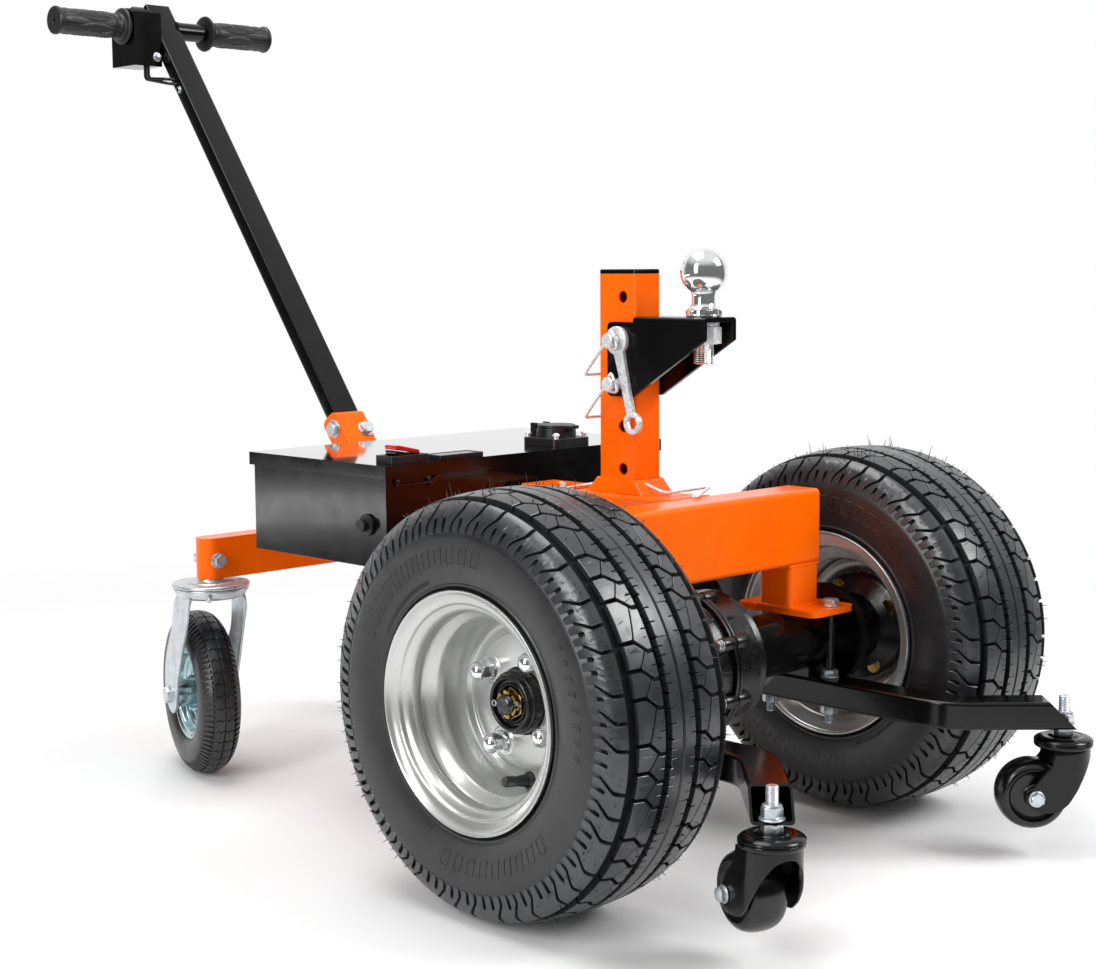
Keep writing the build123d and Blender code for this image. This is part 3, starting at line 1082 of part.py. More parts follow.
def rear_casters():
    plate_top = REAR_BAR_BOTTOM_Z - REAR_PLATE_GAP
    plate_bottom = plate_top - REAR_PLATE_THICKNESS
    race_bottom = plate_bottom - REAR_RACE_HEIGHT
    plate = rod((0, 0, plate_bottom), (0, 0, plate_top), REAR_PLATE_RADIUS)
    plate += rod((0, 0, plate_top), (0, 0, REAR_BAR_BOTTOM_Z), REAR_BAR_DEPTH / 2)
    plate += rod((0, 0, plate_top), (0, 0, REAR_BAR_TOP_Z - 6), REAR_STEM_RADIUS)
    plate -= rod((0, -20, REAR_CROSS_BOLT_Z), (0, 20, REAR_CROSS_BOLT_Z), CLAMP_BOLT_RADIUS + BOLT_GAP)
    plate += rod((0, 0, race_bottom - 5), (0, 0, plate_bottom), REAR_PIVOT_RADIUS)
    for x in (-REAR_CASTER_X, REAR_CASTER_X):
        add("rear_caster_plates", Pos(x, REAR_BAR_Y, 0) * plate)

    half = REAR_FORK_WIDTH / 2
    axle_z = REAR_WHEEL_RADIUS
    crown_top = plate_bottom - LOOSE_GAP
    cup = Pos(0, 0, race_bottom) * Cone(REAR_PLATE_RADIUS - 6, REAR_PLATE_RADIUS - 2,
                                        crown_top - race_bottom - 3,
                                        align=(Align.CENTER, Align.CENTER, Align.MIN))
    cup += rod((0, 0, crown_top - 3.01), (0, 0, crown_top), REAR_PLATE_RADIUS - 5)
    leg = rear_fork_leg(half, race_bottom)
    yoke = block((-half, half), (-26, 28), (race_bottom - REAR_FORK_PLATE, race_bottom + 3))
    fork = cup + yoke + leg + mirror(leg, Plane.YZ)
    fork -= rod((0, 0, race_bottom - 20), (0, 0, crown_top + 1), REAR_PIVOT_RADIUS + RUNNING_GAP)
    head = half + REAR_AXLE_HEAD
    axle = rod((-head, REAR_TRAIL, axle_z), (head + 4, REAR_TRAIL, axle_z), REAR_AXLE_RADIUS)
    axle += hexagon((-head, REAR_TRAIL, axle_z), (-half, REAR_TRAIL, axle_z), REAR_AXLE_FLATS)
    axle += hexagon((half, REAR_TRAIL, axle_z), (head, REAR_TRAIL, axle_z), REAR_AXLE_FLATS)

    tyre, wheel = rear_wheel_shapes(half - REAR_FORK_PLATE)
    wheel_place = Pos(0, REAR_TRAIL, axle_z)
    for side, word in ((1, "left"), (-1, "right")):
        place = Pos(side * REAR_CASTER_X, REAR_BAR_Y, 0) * Rot(0, 0, side * REAR_TRAIL_TURN)
        add("rear_fork_" + word, place * fork, place * axle)
        add("rear_tyre_" + word, place * wheel_place * tyre)
        add("rear_rim_" + word, place * wheel_place * wheel)


# Front caster arms and casters
def front_arm():
    lean = 45.0
    tip_run = STEM_FROM_TIP + ARM_HEIGHT
    end = (STEM_X + tip_run * cos(radians(lean)), STEM_Y - tip_run * sin(radians(lean)))
    mid_z = ARM_BOTTOM_Z + ARM_HEIGHT / 2
    path = FilletPolyline((CLAMP_BOLT_X, ARM_BACK_Y + 6, mid_z), (CLAMP_BOLT_X, ARM_BEND_Y, mid_z),
                          (end[0], end[1], mid_z),
                          radius=ARM_BEND_RADIUS)
    section = Plane(origin=path @ 0, x_dir=(1, 0, 0), z_dir=path % 0)
    outer = RectangleRounded(ARM_WIDTH, ARM_HEIGHT, 4.0)
    bore = RectangleRounded(ARM_WIDTH - 2 * ARM_WALL, ARM_HEIGHT - 2 * ARM_WALL, 2.0)
    arm = sweep(section * (outer - bore), path=path)
    bottom_tip = Vector(STEM_X, STEM_Y, ARM_BOTTOM_Z) + Vector(cos(radians(lean)), -sin(radians(lean)),
                                                               0) * STEM_FROM_TIP
    slant = Plane(origin=bottom_tip, x_dir=(sin(radians(lean)), cos(radians(lean)), 0),
                  z_dir=(cos(radians(lean)), -sin(radians(lean)), 1))
    arm -= extrude(slant * Rectangle(200, 200), amount=120)
    back = Plane(origin=(CLAMP_BOLT_X, ARM_BACK_Y, ARM_BOTTOM_Z), x_dir=(1, 0, 0), z_dir=(0, 1, 1))
    arm -= extrude(back * Rectangle(120, 200), amount=80)
    return arm


def front_hood(cap_bottom):
    """Deep-drawn fork: a round hood whose two sides run back to the wheel's axle."""
    r = FRONT_FORK_RADIUS
    half = FRONT_FORK_HALF_WIDTH
    wall = FRONT_FORK_PLATE
    wheel_z = FRONT_WHEEL_CENTRE_Z
    back = FRONT_TRAIL + 11
    low = wheel_z - 12
    top = Plane(origin=(0, 0, low))
    outer = Circle(r) + Pos(0, back / 2) * Rectangle(2 * half, back)
    inner = Circle(r - wall) + Pos(0, back / 2 + 5) * Rectangle(2 * (half - wall), back + 10)
    hood = extrude(top * outer, amount=cap_bottom - low) - extrude(top * inner,
                                                                   amount=cap_bottom - low - wall)
    front_cut = [
        Line((-60, low - 1), (-60, cap_bottom - 7)),
        Line((-60, cap_bottom - 7), (-r, cap_bottom - 7)),
        ThreePointArc((-r, cap_bottom - 7), (-2, wheel_z + 26), (FRONT_TRAIL - 12, low - 1)),
        Line((FRONT_TRAIL - 12, low - 1), (-60, low - 1)),
    ]
    rear_cut = [
        Line((90, low - 1), (FRONT_TRAIL + 6, low - 1)),
        Line((FRONT_TRAIL + 6, low - 1), (back - 1, wheel_z + 2)),
        ThreePointArc((back - 1, wheel_z + 2), (36, cap_bottom - 18), (14, cap_bottom - 8)),
        Line((14, cap_bottom - 8), (90, cap_bottom - 8)),
        Line((90, cap_bottom - 8), (90, low - 1)),
    ]
    side_view = Plane(origin=(0, 0, 0), x_dir=(0, 1, 0), z_dir=(1, 0, 0))
    for cut in (front_cut, rear_cut):
        hood -= extrude(side_view * make_face(cut), amount=80, both=True)
    hood -= block((-80, 80), (back - 4, 90), (cap_bottom - 8.5, cap_bottom + 1))
    return hood - rod((-half - 1, FRONT_TRAIL, wheel_z), (half + 1, FRONT_TRAIL, wheel_z),
                      FRONT_AXLE_RADIUS + RUNNING_GAP)


def front_casters():
    arm = front_arm()
    for y in (-CLAMP_BOLT_Y, CLAMP_BOLT_Y):
        arm -= rod((CLAMP_BOLT_X, y, ARM_BOTTOM_Z - 5), (CLAMP_BOLT_X, y, ARM_TOP_Z + 5),
                   CLAMP_BOLT_RADIUS + BOLT_GAP)
    arm -= rod((STEM_X, STEM_Y, ARM_BOTTOM_Z - 5), (STEM_X, STEM_Y, ARM_BOTTOM_Z + ARM_WALL + 2),
               STEM_RADIUS + RUNNING_GAP)
    add("caster_arms", *both_sides(arm))

    cap_top = ARM_BOTTOM_Z - FRONT_CAP_DROP
    cap_bottom = cap_top - FRONT_CAP_HEIGHT
    ring_top = cap_bottom - LOOSE_GAP
    ring_bottom = ring_top - FRONT_RING_HEIGHT
    floor = ARM_BOTTOM_Z + ARM_WALL
    stem = rod((0, 0, ring_bottom - 4), (0, 0, floor + STEM_RISE), STEM_RADIUS)
    stem += hexagon((0, 0, cap_top), (0, 0, ARM_BOTTOM_Z), STEM_NUT_FLATS)
    stem += rod((0, 0, ring_bottom - 7), (0, 0, ring_bottom - 3), STEM_RADIUS + 3)
    washer = ring((0, 0, floor), (0, 0, floor + 2), 12.0, STEM_RADIUS + RUNNING_GAP)
    nut = hexagon((0, 0, floor + 2), (0, 0, floor + 2 + STEM_NUT_HEIGHT), STEM_NUT_FLATS)
    nut -= rod((0, 0, floor), (0, 0, floor + 40), STEM_RADIUS + RUNNING_GAP)

    dome = rod((0, 0, cap_bottom), (0, 0, cap_top - 2), FRONT_CAP_RADIUS)
    dome = fillet(dome.edges().sort_by(Axis.Z)[-1], 3.5)
    dome += rod((0, 0, cap_bottom), (0, 0, cap_top), 15.0)
    dome -= rod((0, 0, cap_bottom - 1), (0, 0, cap_top + 1), STEM_RADIUS + RUNNING_GAP)

    hood = front_hood(ring_bottom)
    hood += rod((0, 0, ring_bottom), (0, 0, ring_top), FRONT_CAP_RADIUS)
    hood -= rod((0, 0, ring_bottom - 5), (0, 0, ring_top + 1), STEM_RADIUS + RUNNING_GAP)
    half = FRONT_FORK_HALF_WIDTH
    wheel_z = FRONT_WHEEL_CENTRE_Z
    axle = rod((-half - 5, FRONT_TRAIL, wheel_z), (half + 8, FRONT_TRAIL, wheel_z), FRONT_AXLE_RADIUS)
    axle += hexagon((-half - 5, FRONT_TRAIL, wheel_z), (-half, FRONT_TRAIL, wheel_z), 13.0)
    axle += hexagon((half, FRONT_TRAIL, wheel_z), (half + 6, FRONT_TRAIL, wheel_z), 13.0)

    w = FRONT_WHEEL_HALF_WIDTH
    bore = FRONT_AXLE_RADIUS + RUNNING_GAP
    hub_end = half - FRONT_FORK_PLATE - BOLT_GAP
    outline = [
        Polyline((-hub_end, bore), (-hub_end, 10), (-w + 3, 10), (-w + 3, 24), (-w, 27),
                 (-w, FRONT_WHEEL_RADIUS - 6)),
        ThreePointArc((-w, FRONT_WHEEL_RADIUS - 6), (0, FRONT_WHEEL_RADIUS), (w, FRONT_WHEEL_RADIUS - 6)),
        Polyline((w, FRONT_WHEEL_RADIUS - 6), (w, 27), (w - 3, 24), (w - 3, 10), (hub_end, 10),
                 (hub_end, bore)),
        Line((hub_end, bore), (-hub_end, bore)),
    ]
    wheel = revolve(Plane.XY * make_face(outline), Axis.X, 360)
    for side, word, turn in ((1, "left", FRONT_TRAIL_LEFT), (-1, "right", FRONT_TRAIL_RIGHT)):
        stem_place = Pos(side * STEM_X, STEM_Y, 0)
        add("front_caster_stems", stem_place * stem, stem_place * washer, stem_place * nut)
        add("front_caster_caps", stem_place * dome)
        place = stem_place * Rot(0, 0, -turn)
        add("front_fork_" + word, place * hood, place * axle)
        add("front_wheel_" + word, place * Pos(0, FRONT_TRAIL, wheel_z) * wheel)


drive_wheels()
axle_parts()
gear_parts()
motor_part()
frame_parts()
handle_bracket_part()
mast_parts()
ball_mount_parts()
pin_parts()
spanner_part()
box_parts()
lid_parts()
handle_parts()
frame_bolts()
rear_casters()
front_casters()

# Move the footprint's middle to the origin and write one file for each sub-part
everything = Compound([solid for solids in parts.values() for solid in solids])
bounds = everything.bounding_box()
shift = Pos(-bounds.center().X, -bounds.center().Y, -bounds.min.Z)
print("moved by", -bounds.center().X, -bounds.center().Y, -bounds.min.Z)
os.makedirs("parts", exist_ok=True)
for name, solids in parts.items():
    placed = [shift * solid for solid in solids]
    shape = placed[0] if len(placed) == 1 else Compound(placed)
    export_step(shape, f"parts/{name}.step")
print("sub-parts", len(parts))
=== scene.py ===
import json
import math
import random

import bpy
from mathutils import Matrix, Vector


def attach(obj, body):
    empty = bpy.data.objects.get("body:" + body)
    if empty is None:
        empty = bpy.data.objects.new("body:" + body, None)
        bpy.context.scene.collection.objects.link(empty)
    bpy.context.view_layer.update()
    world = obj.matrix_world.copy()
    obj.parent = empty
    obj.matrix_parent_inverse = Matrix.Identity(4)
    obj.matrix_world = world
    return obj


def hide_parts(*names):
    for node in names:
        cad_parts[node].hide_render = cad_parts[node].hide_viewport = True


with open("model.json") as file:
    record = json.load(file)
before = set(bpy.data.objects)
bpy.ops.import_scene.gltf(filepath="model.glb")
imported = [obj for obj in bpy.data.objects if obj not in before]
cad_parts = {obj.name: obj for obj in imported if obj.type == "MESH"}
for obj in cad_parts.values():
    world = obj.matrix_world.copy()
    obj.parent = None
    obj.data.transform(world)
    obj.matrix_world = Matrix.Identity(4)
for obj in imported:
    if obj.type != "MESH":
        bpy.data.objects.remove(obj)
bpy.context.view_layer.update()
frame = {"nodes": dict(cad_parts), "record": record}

nodes = frame["nodes"]

# Places and sizes of the machine, in millimetres, with the origin at the middle of the footprint
MM = 0.001
AXLE_Y = -367.9278
AXLE_Z = 209.5
TRACK_HALF = 276.0
SIDES = (("left", 1), ("right", -1))

# Tread of the drive tyre, flat: s runs across the tyre and v round it
TREAD_SETS = 14
LONG_PITCH = 42.0
SHORT_PITCH = 26.0
PITCHES = (LONG_PITCH, SHORT_PITCH, SHORT_PITCH)
SET_LENGTH = sum(PITCHES)
TREAD_DEPTH = 7.5
TREAD_EDGE = 0.45
BAR_INNER = 65.5
BAR_BEND = 76.5
BAR_KNEE = 90.5
BAR_OUTER = 100.0
BAR_RISE = 13.4
BLOCK_OUTER = 54.5
BLOCK_INNER = 24.0
RIB_INNER = 1.4
RIB_OUTER = 15.5
GROOVE_HALF = 1.9
GROOVE_DEPTH = 6.6
SLIT_HALF = 0.45
NOTCH_WIDTH = 5.0
NOTCH_DEPTH = 15.0

# Rear casters
REAR_PIVOT = (219.0, 615.0 + AXLE_Y)
REAR_TRAIL = 54.0
REAR_TURN = 17.0
REAR_WHEEL_RADIUS = 102.0


# Handling of objects
def pick(*objects):
    """Deselect everything, then select these objects, the last one active."""
    bpy.ops.object.select_all(action="DESELECT")
    for item in objects:
        item.select_set(True)
        bpy.context.view_layer.objects.active = item
    return objects[-1]


def in_edit_mode(item, *steps):
    """Run steps on an object in edit mode, with all of its mesh selected before each."""
    pick(item)
    bpy.ops.object.mode_set(mode="EDIT")
    for step in steps:
        bpy.ops.mesh.select_all(action="SELECT")
        step()
    bpy.ops.object.mode_set(mode="OBJECT")
    return item


def merge_close():
    bpy.ops.mesh.remove_doubles(threshold=0.00002)


def face_outwards():
    bpy.ops.mesh.normals_make_consistent(inside=False)


def soften(item, angle=32.0):
    pick(item)
    bpy.ops.object.shade_smooth_by_angle(angle=math.radians(angle))
    return item


def bevelled(item, width, segments=2, angle=35.0):
    """Round the sharp edges of a piece by a width in millimetres."""
    edge = item.modifiers.new("edges", "BEVEL")
    edge.width = width * MM
    edge.segments = segments
    edge.limit_method = "ANGLE"
    edge.angle_limit = math.radians(angle)
    pick(item)
    bpy.ops.object.modifier_apply(modifier=edge.name)
    return item


def joined(name, *items):
    pick(*items)
    if len(items) > 1:
        bpy.ops.object.join()
    whole = bpy.context.view_layer.objects.active
    whole.name = name
    whole.data.name = name
    return whole


def shift(x=0.0, y=0.0, z=0.0):
    """A move in millimetres, as a matrix."""
    return Matrix.Translation((x * MM, y * MM, z * MM))


def shaped(item, place):
    """Apply a matrix to a piece's mesh."""
    item.data.transform(place)
    return item


def moved(item, x=0.0, y=0.0, z=0.0):
    return shaped(item, shift(x, y, z))


def turned_to(item, across, along, up, place=(0, 0, 0)):
    """Turn a piece so that its X, Y and Z point the ways given, and put it at a place in millimetres."""
    return shaped(item, shift(*place) @ Matrix((across, along, up)).transposed().to_4x4())


def upright(item):
    """Stand a piece spun about X on end, so that its axis points up."""
    return shaped(item, Matrix.Rotation(-math.pi / 2, 4, "Y"))


def copied(item, name, place):
    """A copy of a piece with its own mesh, moved by a matrix."""
    twin = item.copy()
    twin.data = item.data.copy()
    twin.name = name
    bpy.context.collection.objects.link(twin)
    return shaped(twin, place)


def settle(item):
    """Put an object's place into its mesh."""
    shaped(item, item.matrix_basis)
    item.matrix_basis = Matrix.Identity(4)
    return item


def primitive(add, **sizes):
    """A new primitive, added with nothing else selected."""
    bpy.ops.object.select_all(action="DESELECT")
    add(**sizes)
    return bpy.context.object


def on_circle(radius, degrees):
    """The two coordinates of a place on a circle."""
    return radius * math.cos(math.radians(degrees)), radius * math.sin(math.radians(degrees))


def cut_at(item, cuts):
    """Cut a piece across at each (axis, place in millimetres), so that it can be bent."""
    def cut():
        for axis, spot in cuts:
            normal = [1 if n == axis else 0 for n in range(3)]
            bpy.ops.mesh.select_all(action="SELECT")
            bpy.ops.mesh.bisect(plane_co=[c * spot * MM for c in normal], plane_no=normal)

    return in_edit_mode(item, cut)


def as_mesh(name, curve):
    """A curve turned into a mesh object."""
    item = bpy.data.objects.new(name, curve)
    bpy.context.collection.objects.link(item)
    pick(item)
    bpy.ops.object.convert(target="MESH")
    return bpy.context.view_layer.objects.active


def mesh_from_curve(name, splines, extrude=0.0, bevel=0.0, closed=True):
    """A flat curve of straight runs through (x, y) points in millimetres, as a mesh."""
    curve = bpy.data.curves.new(name, "CURVE")
    curve.dimensions = "2D" if closed else "3D"
    if closed:
        curve.fill_mode = "BOTH"
        curve.extrude = extrude * MM
        curve.bevel_depth = bevel * MM
        curve.bevel_resolution = 0
        curve.offset = -bevel * MM
    for points in splines:
        line = curve.splines.new("POLY")
        line.points.add(len(points) - 1)
        for point, xy in zip(line.points, points):
            point.co = (xy[0] * MM, xy[1] * MM, 0.0, 1.0)
        line.use_cyclic_u = closed
    return as_mesh(name, curve)


def rounded(points, radius, steps=3, closed=False):
    """The corners of a line of (x, y) points turned into small arcs."""
    if not radius:
        return points
    out = []
    count = len(points)
    for n, here in enumerate(points):
        if not closed and n in (0, count - 1):
            out.append(here)
            continue
        before, after = points[n - 1], points[(n + 1) % count]
        a = Vector((before[0] - here[0], before[1] - here[1]))
        b = Vector((after[0] - here[0], after[1] - here[1]))
        reach = min(radius, a.length * 0.45, b.length * 0.45)
        corner = Vector(here[:2])
        start = corner + a.normalized() * reach
        end = corner + b.normalized() * reach
        for k in range(steps + 1):
            t = k / steps
            spot = start * (1 - t) ** 2 + corner * 2 * t * (1 - t) + end * t ** 2
            out.append((spot.x, spot.y))
    return out


def lathed(name, profile, steps=96, radius=0.0, closed=True):
    """A profile of (along X, radius) points in millimetres, spun about the X axis."""
    points = rounded(profile, radius, closed=closed)
    if closed:
        points = points + points[:1]
    item = mesh_from_curve(name, [points], closed=False)
    in_edit_mode(item, lambda: bpy.ops.mesh.spin(steps=steps, angle=2 * math.pi, center=(0, 0, 0),
                                                 axis=(1, 0, 0)), merge_close, face_outwards)
    return item


def bar_between(name, start, end, radius, sides=24, chamfer=0.0):
    """A round or many-sided bar between two points in millimetres."""
    a, b = Vector(start) * MM, Vector(end) * MM
    item = primitive(bpy.ops.mesh.primitive_cylinder_add, vertices=sides, radius=radius * MM,
                     depth=(b - a).length)
    item.name = name
    turn = (b - a).to_track_quat("Z", "Y").to_matrix().to_4x4()
    item.matrix_basis = Matrix.Translation((a + b) / 2) @ turn
    settle(item)
    if chamfer:
        bevelled(item, chamfer, 2, 40)
    return item


def bent_wire(name, points, radius, soft=True, resolution=2):
    """A round wire along points in millimetres."""
    curve = bpy.data.curves.new(name, "CURVE")
    curve.dimensions = "3D"
    curve.bevel_depth = radius * MM
    curve.bevel_resolution = resolution
    curve.use_fill_caps = True
    line = curve.splines.new("NURBS" if soft else "POLY")
    line.points.add(len(points) - 1)
    for point, xyz in zip(line.points, points):
        point.co = (*(c * MM for c in xyz), 1.0)
    if soft:
        line.use_endpoint_u = True
        line.order_u = 3
        line.resolution_u = 6
    return as_mesh(name, curve)


def plate_shape(name, outline, thick, edge):
    """A flat plate cut to an outline of (y, z) points, its edges rounded, between X = 0 and -thick."""
    item = mesh_from_curve(name, [outline], thick / 2 - edge, edge)
    return turned_to(item, (0, 1, 0), (0, 0, 1), (1, 0, 0), (-thick / 2, 0, 0))


def threaded(start, end, radius, pitch=1.6):
    """Profile of a threaded bar along its axis."""
    profile = [(start, 0.0), (start, radius - 1.0), (start + 0.8, radius - 0.1)]
    at = start + 1.4
    while at < end - 1.6:
        profile += [(at, radius), (at + pitch / 2, radius - 0.65)]
        at += pitch
    return profile + [(end - 0.9, radius - 0.1), (end, radius - 1.0), (end, 0.0)]


# Chamfer of a hexagon's end: its slope, its size as a share of the width across flats, and how deep it cuts
END_SLOPE = 0.62
END_CHAMFER = 0.07
END_DEPTH = 0.35
WASHER_THICK = 1.8


def hexagonal(start, end, flats):
    """A hexagon along X, its outer end turned to a chamfer."""
    item = bar_between("hexagon", (start, 0, 0), (end, 0, 0), flats / 2 / math.cos(math.pi / 6), 6, 0.5)
    edge = end - flats * END_CHAMFER * END_DEPTH

    def turn_end():
        for n in range(12):
            y, z = math.cos(2 * math.pi * n / 12), math.sin(2 * math.pi * n / 12)
            place = Vector((edge, y * flats / 2, z * flats / 2)) * MM
            aim = Vector((1, END_SLOPE * y, END_SLOPE * z))
            bpy.ops.mesh.select_all(action="SELECT")
            bpy.ops.mesh.bisect(plane_co=place, plane_no=aim, use_fill=True, clear_outer=True)

    return in_edit_mode(item, turn_end)


def screw_head(place, aim, flats, height, washer=0.0):
    """A hexagon head, its washer under it, standing on a place and pointing along a direction."""
    foot = WASHER_THICK if washer else 0.0
    parts = [hexagonal(foot, height + foot, flats)]
    if washer:
        ring = [(0, 0), (0.0, washer - 0.5), (0.5, washer), (foot - 0.5, washer), (foot, washer - 0.5),
                (foot, 0.0)]
        parts.append(lathed("washer", ring, 32, closed=False))
    turn = Vector(aim).to_track_quat("X", "Z").to_matrix().to_4x4()
    return shaped(joined("head", *parts), Matrix.Translation(Vector(place) * MM) @ turn)


def eased(node, width, segments=2, angle=40.0):
    """A copy of a CAD node with its sharp edges broken, for the light to catch."""
    item = copied(nodes[node], node + "_eased", Matrix.Identity(4))
    for note in list(item.keys()):
        del item[note]
    item.parent = None
    in_edit_mode(item, merge_close, lambda: bpy.ops.mesh.dissolve_limited(angle_limit=math.radians(0.6)))
    bevelled(item, width, segments, angle)
    soften(item, angle)
    flat = item.modifiers.new("flat_faces", "WEIGHTED_NORMAL")
    flat.keep_sharp = True
    bpy.ops.object.modifier_apply(modifier=flat.name)
    return item


# Materials
def linear(hex_colour):
    """An sRGB hex colour as the linear colour that shaders take."""
    channels = [int(hex_colour[n:n + 2], 16) / 255 for n in (1, 3, 5)]
    return tuple(c / 12.92 if c <= 0.04045 else ((c + 0.055) / 1.055) ** 2.4 for c in channels) + (1.0,)


def add_node(tree, kind, settings=(), links=()):
    """Add a shader node with its settings, its sockets set to values or linked."""
    new = tree.nodes.new(kind)
    for name, value in dict(settings).items():
        setattr(new, name, value)
    for socket, value in dict(links).items():
        if isinstance(value, bpy.types.NodeSocket):
            tree.links.new(value, new.inputs[socket])
        else:
            new.inputs[socket].default_value = value
    return new


def new_material(name, colour, roughness, metallic=0.0, **sockets):
    """A material with one shader; returns the material, its tree and its shader."""
    material = bpy.data.materials.new(name)
    material.use_nodes = True
    tree = material.node_tree
    shader = tree.nodes["Principled BSDF"]
    shader.inputs["Base Color"].default_value = linear(colour)
    shader.inputs["Roughness"].default_value = roughness
    shader.inputs["Metallic"].default_value = metallic
    for socket, value in sockets.items():
        shader.inputs[socket.replace("_", " ")].default_value = value
    return material, tree, shader


def noise(tree, size_mm, detail=2.0):
    """A noise pattern on object coordinates whose features are about size_mm across."""
    place = add_node(tree, "ShaderNodeTexCoord")
    return add_node(tree, "ShaderNodeTexNoise", links={"Vector": place.outputs["Object"],
                                                       "Scale": 1000.0 / size_mm, "Detail": detail,
                                                       "Roughness": 0.5}).outputs["Fac"]


def vary(tree, shader, socket, pattern, low, high):
    """Let a pattern move a shader value between two numbers or two hex colours."""
    if isinstance(low, str):
        ramp = add_node(tree, "ShaderNodeValToRGB", links={"Fac": pattern})
        for stop, place, colour in zip(ramp.color_ramp.elements, (0.35, 0.65), (low, high)):
            stop.position = place
            stop.color = linear(colour)
        result = ramp.outputs["Color"]
    else:
        result = add_node(tree, "ShaderNodeMapRange", links={"Value": pattern, "From Min": 0.3,
                                                             "From Max": 0.7, "To Min": low,
                                                             "To Max": high}).outputs["Result"]
    tree.links.new(result, shader.inputs[socket])


def relief(tree, shader, pattern, height_mm):
    """Bump from a pattern, its full height given in millimetres."""
    bump = add_node(tree, "ShaderNodeBump", links={"Height": pattern, "Distance": height_mm * MM})
    tree.links.new(bump.outputs["Normal"], shader.inputs["Normal"])


def powder_coat(name, colour, deeper, roughness, coat, gloss):
    """Polyester powder coat: a smooth skin with a faint orange peel of a few millimetres."""
    material, tree, shader = new_material(name, colour, roughness, Coat_Weight=coat, Coat_Roughness=0.06,
                                          Specular_IOR_Level=gloss)
    vary(tree, shader, "Base Color", noise(tree, 60.0), deeper, colour)
    vary(tree, shader, "Roughness", noise(tree, 25.0, 3.0), roughness * 0.85, roughness * 1.2)
    relief(tree, shader, noise(tree, 2.6, 1.0), 0.035)
    return material


def plated(name, colour, deeper, roughness, patch_mm, grain_mm, grain_height, metallic=1.0):
    """Plated steel: metal with a thin film whose tint and gloss drift over the surface."""
    material, tree, shader = new_material(name, colour, roughness, metallic)
    vary(tree, shader, "Base Color", noise(tree, patch_mm, 3.0), deeper, colour)
    vary(tree, shader, "Roughness", noise(tree, patch_mm / 3, 3.0), roughness * 0.7, roughness * 1.35)
    if grain_height:
        relief(tree, shader, noise(tree, grain_mm, 3.0), grain_height)
    return material


def moulded(name, colour, lighter, roughness, grain_mm, height_mm, **sockets):
    """Moulded plastic or rubber with the fine spark-eroded grain of its tool."""
    material, tree, shader = new_material(name, colour, roughness, **sockets)
    vary(tree, shader, "Base Color", noise(tree, 35.0, 4.0), colour, lighter)
    vary(tree, shader, "Roughness", noise(tree, 12.0, 4.0), roughness * 0.85, roughness * 1.15)
    relief(tree, shader, noise(tree, grain_mm), height_mm)
    return material


# Gloss orange polyester powder coat: bright, wet-looking, with a faint peel
orange_coat = powder_coat("orange_powder_coat", "#ff6900", "#fc6200", 0.22, 0.08, 0.2)
# Gloss black powder coat: near mirror, with a faint peel
black_coat = powder_coat("black_powder_coat", "#0a0a0b", "#060607", 0.16, 0.1, 0.3)
# The same coat on the lid, flowed out to a mirror that takes the room at a shallow angle
lid_coat, lid_tree, lid_shader = new_material("lid_powder_coat", "#0a0a0b", 0.1, Coat_Weight=1.0,
                                              Coat_Roughness=0.05, Specular_IOR_Level=1.0)
relief(lid_tree, lid_shader, noise(lid_tree, 3.4, 1.0), 0.02)
# Satin black paint over a rough casting
cast_black, cast_tree, cast_shader = new_material("painted_casting", "#0b0b0d", 0.24)
vary(cast_tree, cast_shader, "Roughness", noise(cast_tree, 8.0, 4.0), 0.18, 0.34)
relief(cast_tree, cast_shader, noise(cast_tree, 1.8, 4.0), 0.16)
# Silver wheel enamel: fine aluminium flake in a clear binder
silver_paint, silver_tree, silver_shader = new_material("silver_wheel_enamel", "#c2c3c1", 0.27, 0.72,
                                                        Coat_Weight=0.35)
vary(silver_tree, silver_shader, "Base Color", noise(silver_tree, 0.8), "#b8b9b7", "#cccdcb")
relief(silver_tree, silver_shader, noise(silver_tree, 3.0, 1.0), 0.02)
# Natural rubber tyre compound: charcoal, satin on the sidewall, with a soft bloom
tyre_rubber = moulded("tyre_rubber", "#18181a", "#212123", 0.36, 1.4, 0.05, Specular_IOR_Level=0.6)
# The same compound on the faces of the blocks, coloured lighter than the sidewall: painted light on the
# blocks' lit faces
tread_rubber_painted_light = moulded("tread_rubber_painted_light", "#252628", "#303134", 0.3, 1.8, 0.06, Specular_IOR_Level=0.8)
# The floors of the grooves, dull and coloured near black: painted shade in the grooves
groove_rubber_painted_shade = moulded("groove_rubber_painted_shade", "#080809", "#0d0d0e", 0.7, 2.0, 0.05, Specular_IOR_Level=0.2)
# Polished chrome plate
chrome = plated("chrome_plate", "#f0f0f1", "#e8e9eb", 0.08, 30.0, 1.0, 0.0, 0.88)
# Satin nickel plate on forgings, paler than chrome
satin_nickel = plated("satin_nickel_plate", "#f2f3f4", "#e8eaec", 0.26, 20.0, 1.0, 0.0, 0.45)
# Plain blackened steel of a turned shaft end
dark_steel = plated("blackened_steel", "#5a5b5e", "#3c3d40", 0.3, 6.0, 1.0, 0.01)
# Bright zinc plate: bluish grey with faint clouds
zinc = plated("bright_zinc_plate", "#d2d6da", "#bcc3c9", 0.33, 14.0, 1.2, 0.012, 0.85)
# Yellow passivated zinc: brassy with an oily play of colour
yellow_zinc = plated("yellow_zinc_plate", "#bf9c55", "#8f7a4a", 0.28, 5.0, 1.0, 0.01)
# Zinc with a blue-green passivation, as inside the caster rims
teal_zinc = plated("blue_zinc_plate", "#c3d3d6", "#a3bcc1", 0.2, 18.0, 1.2, 0.01)
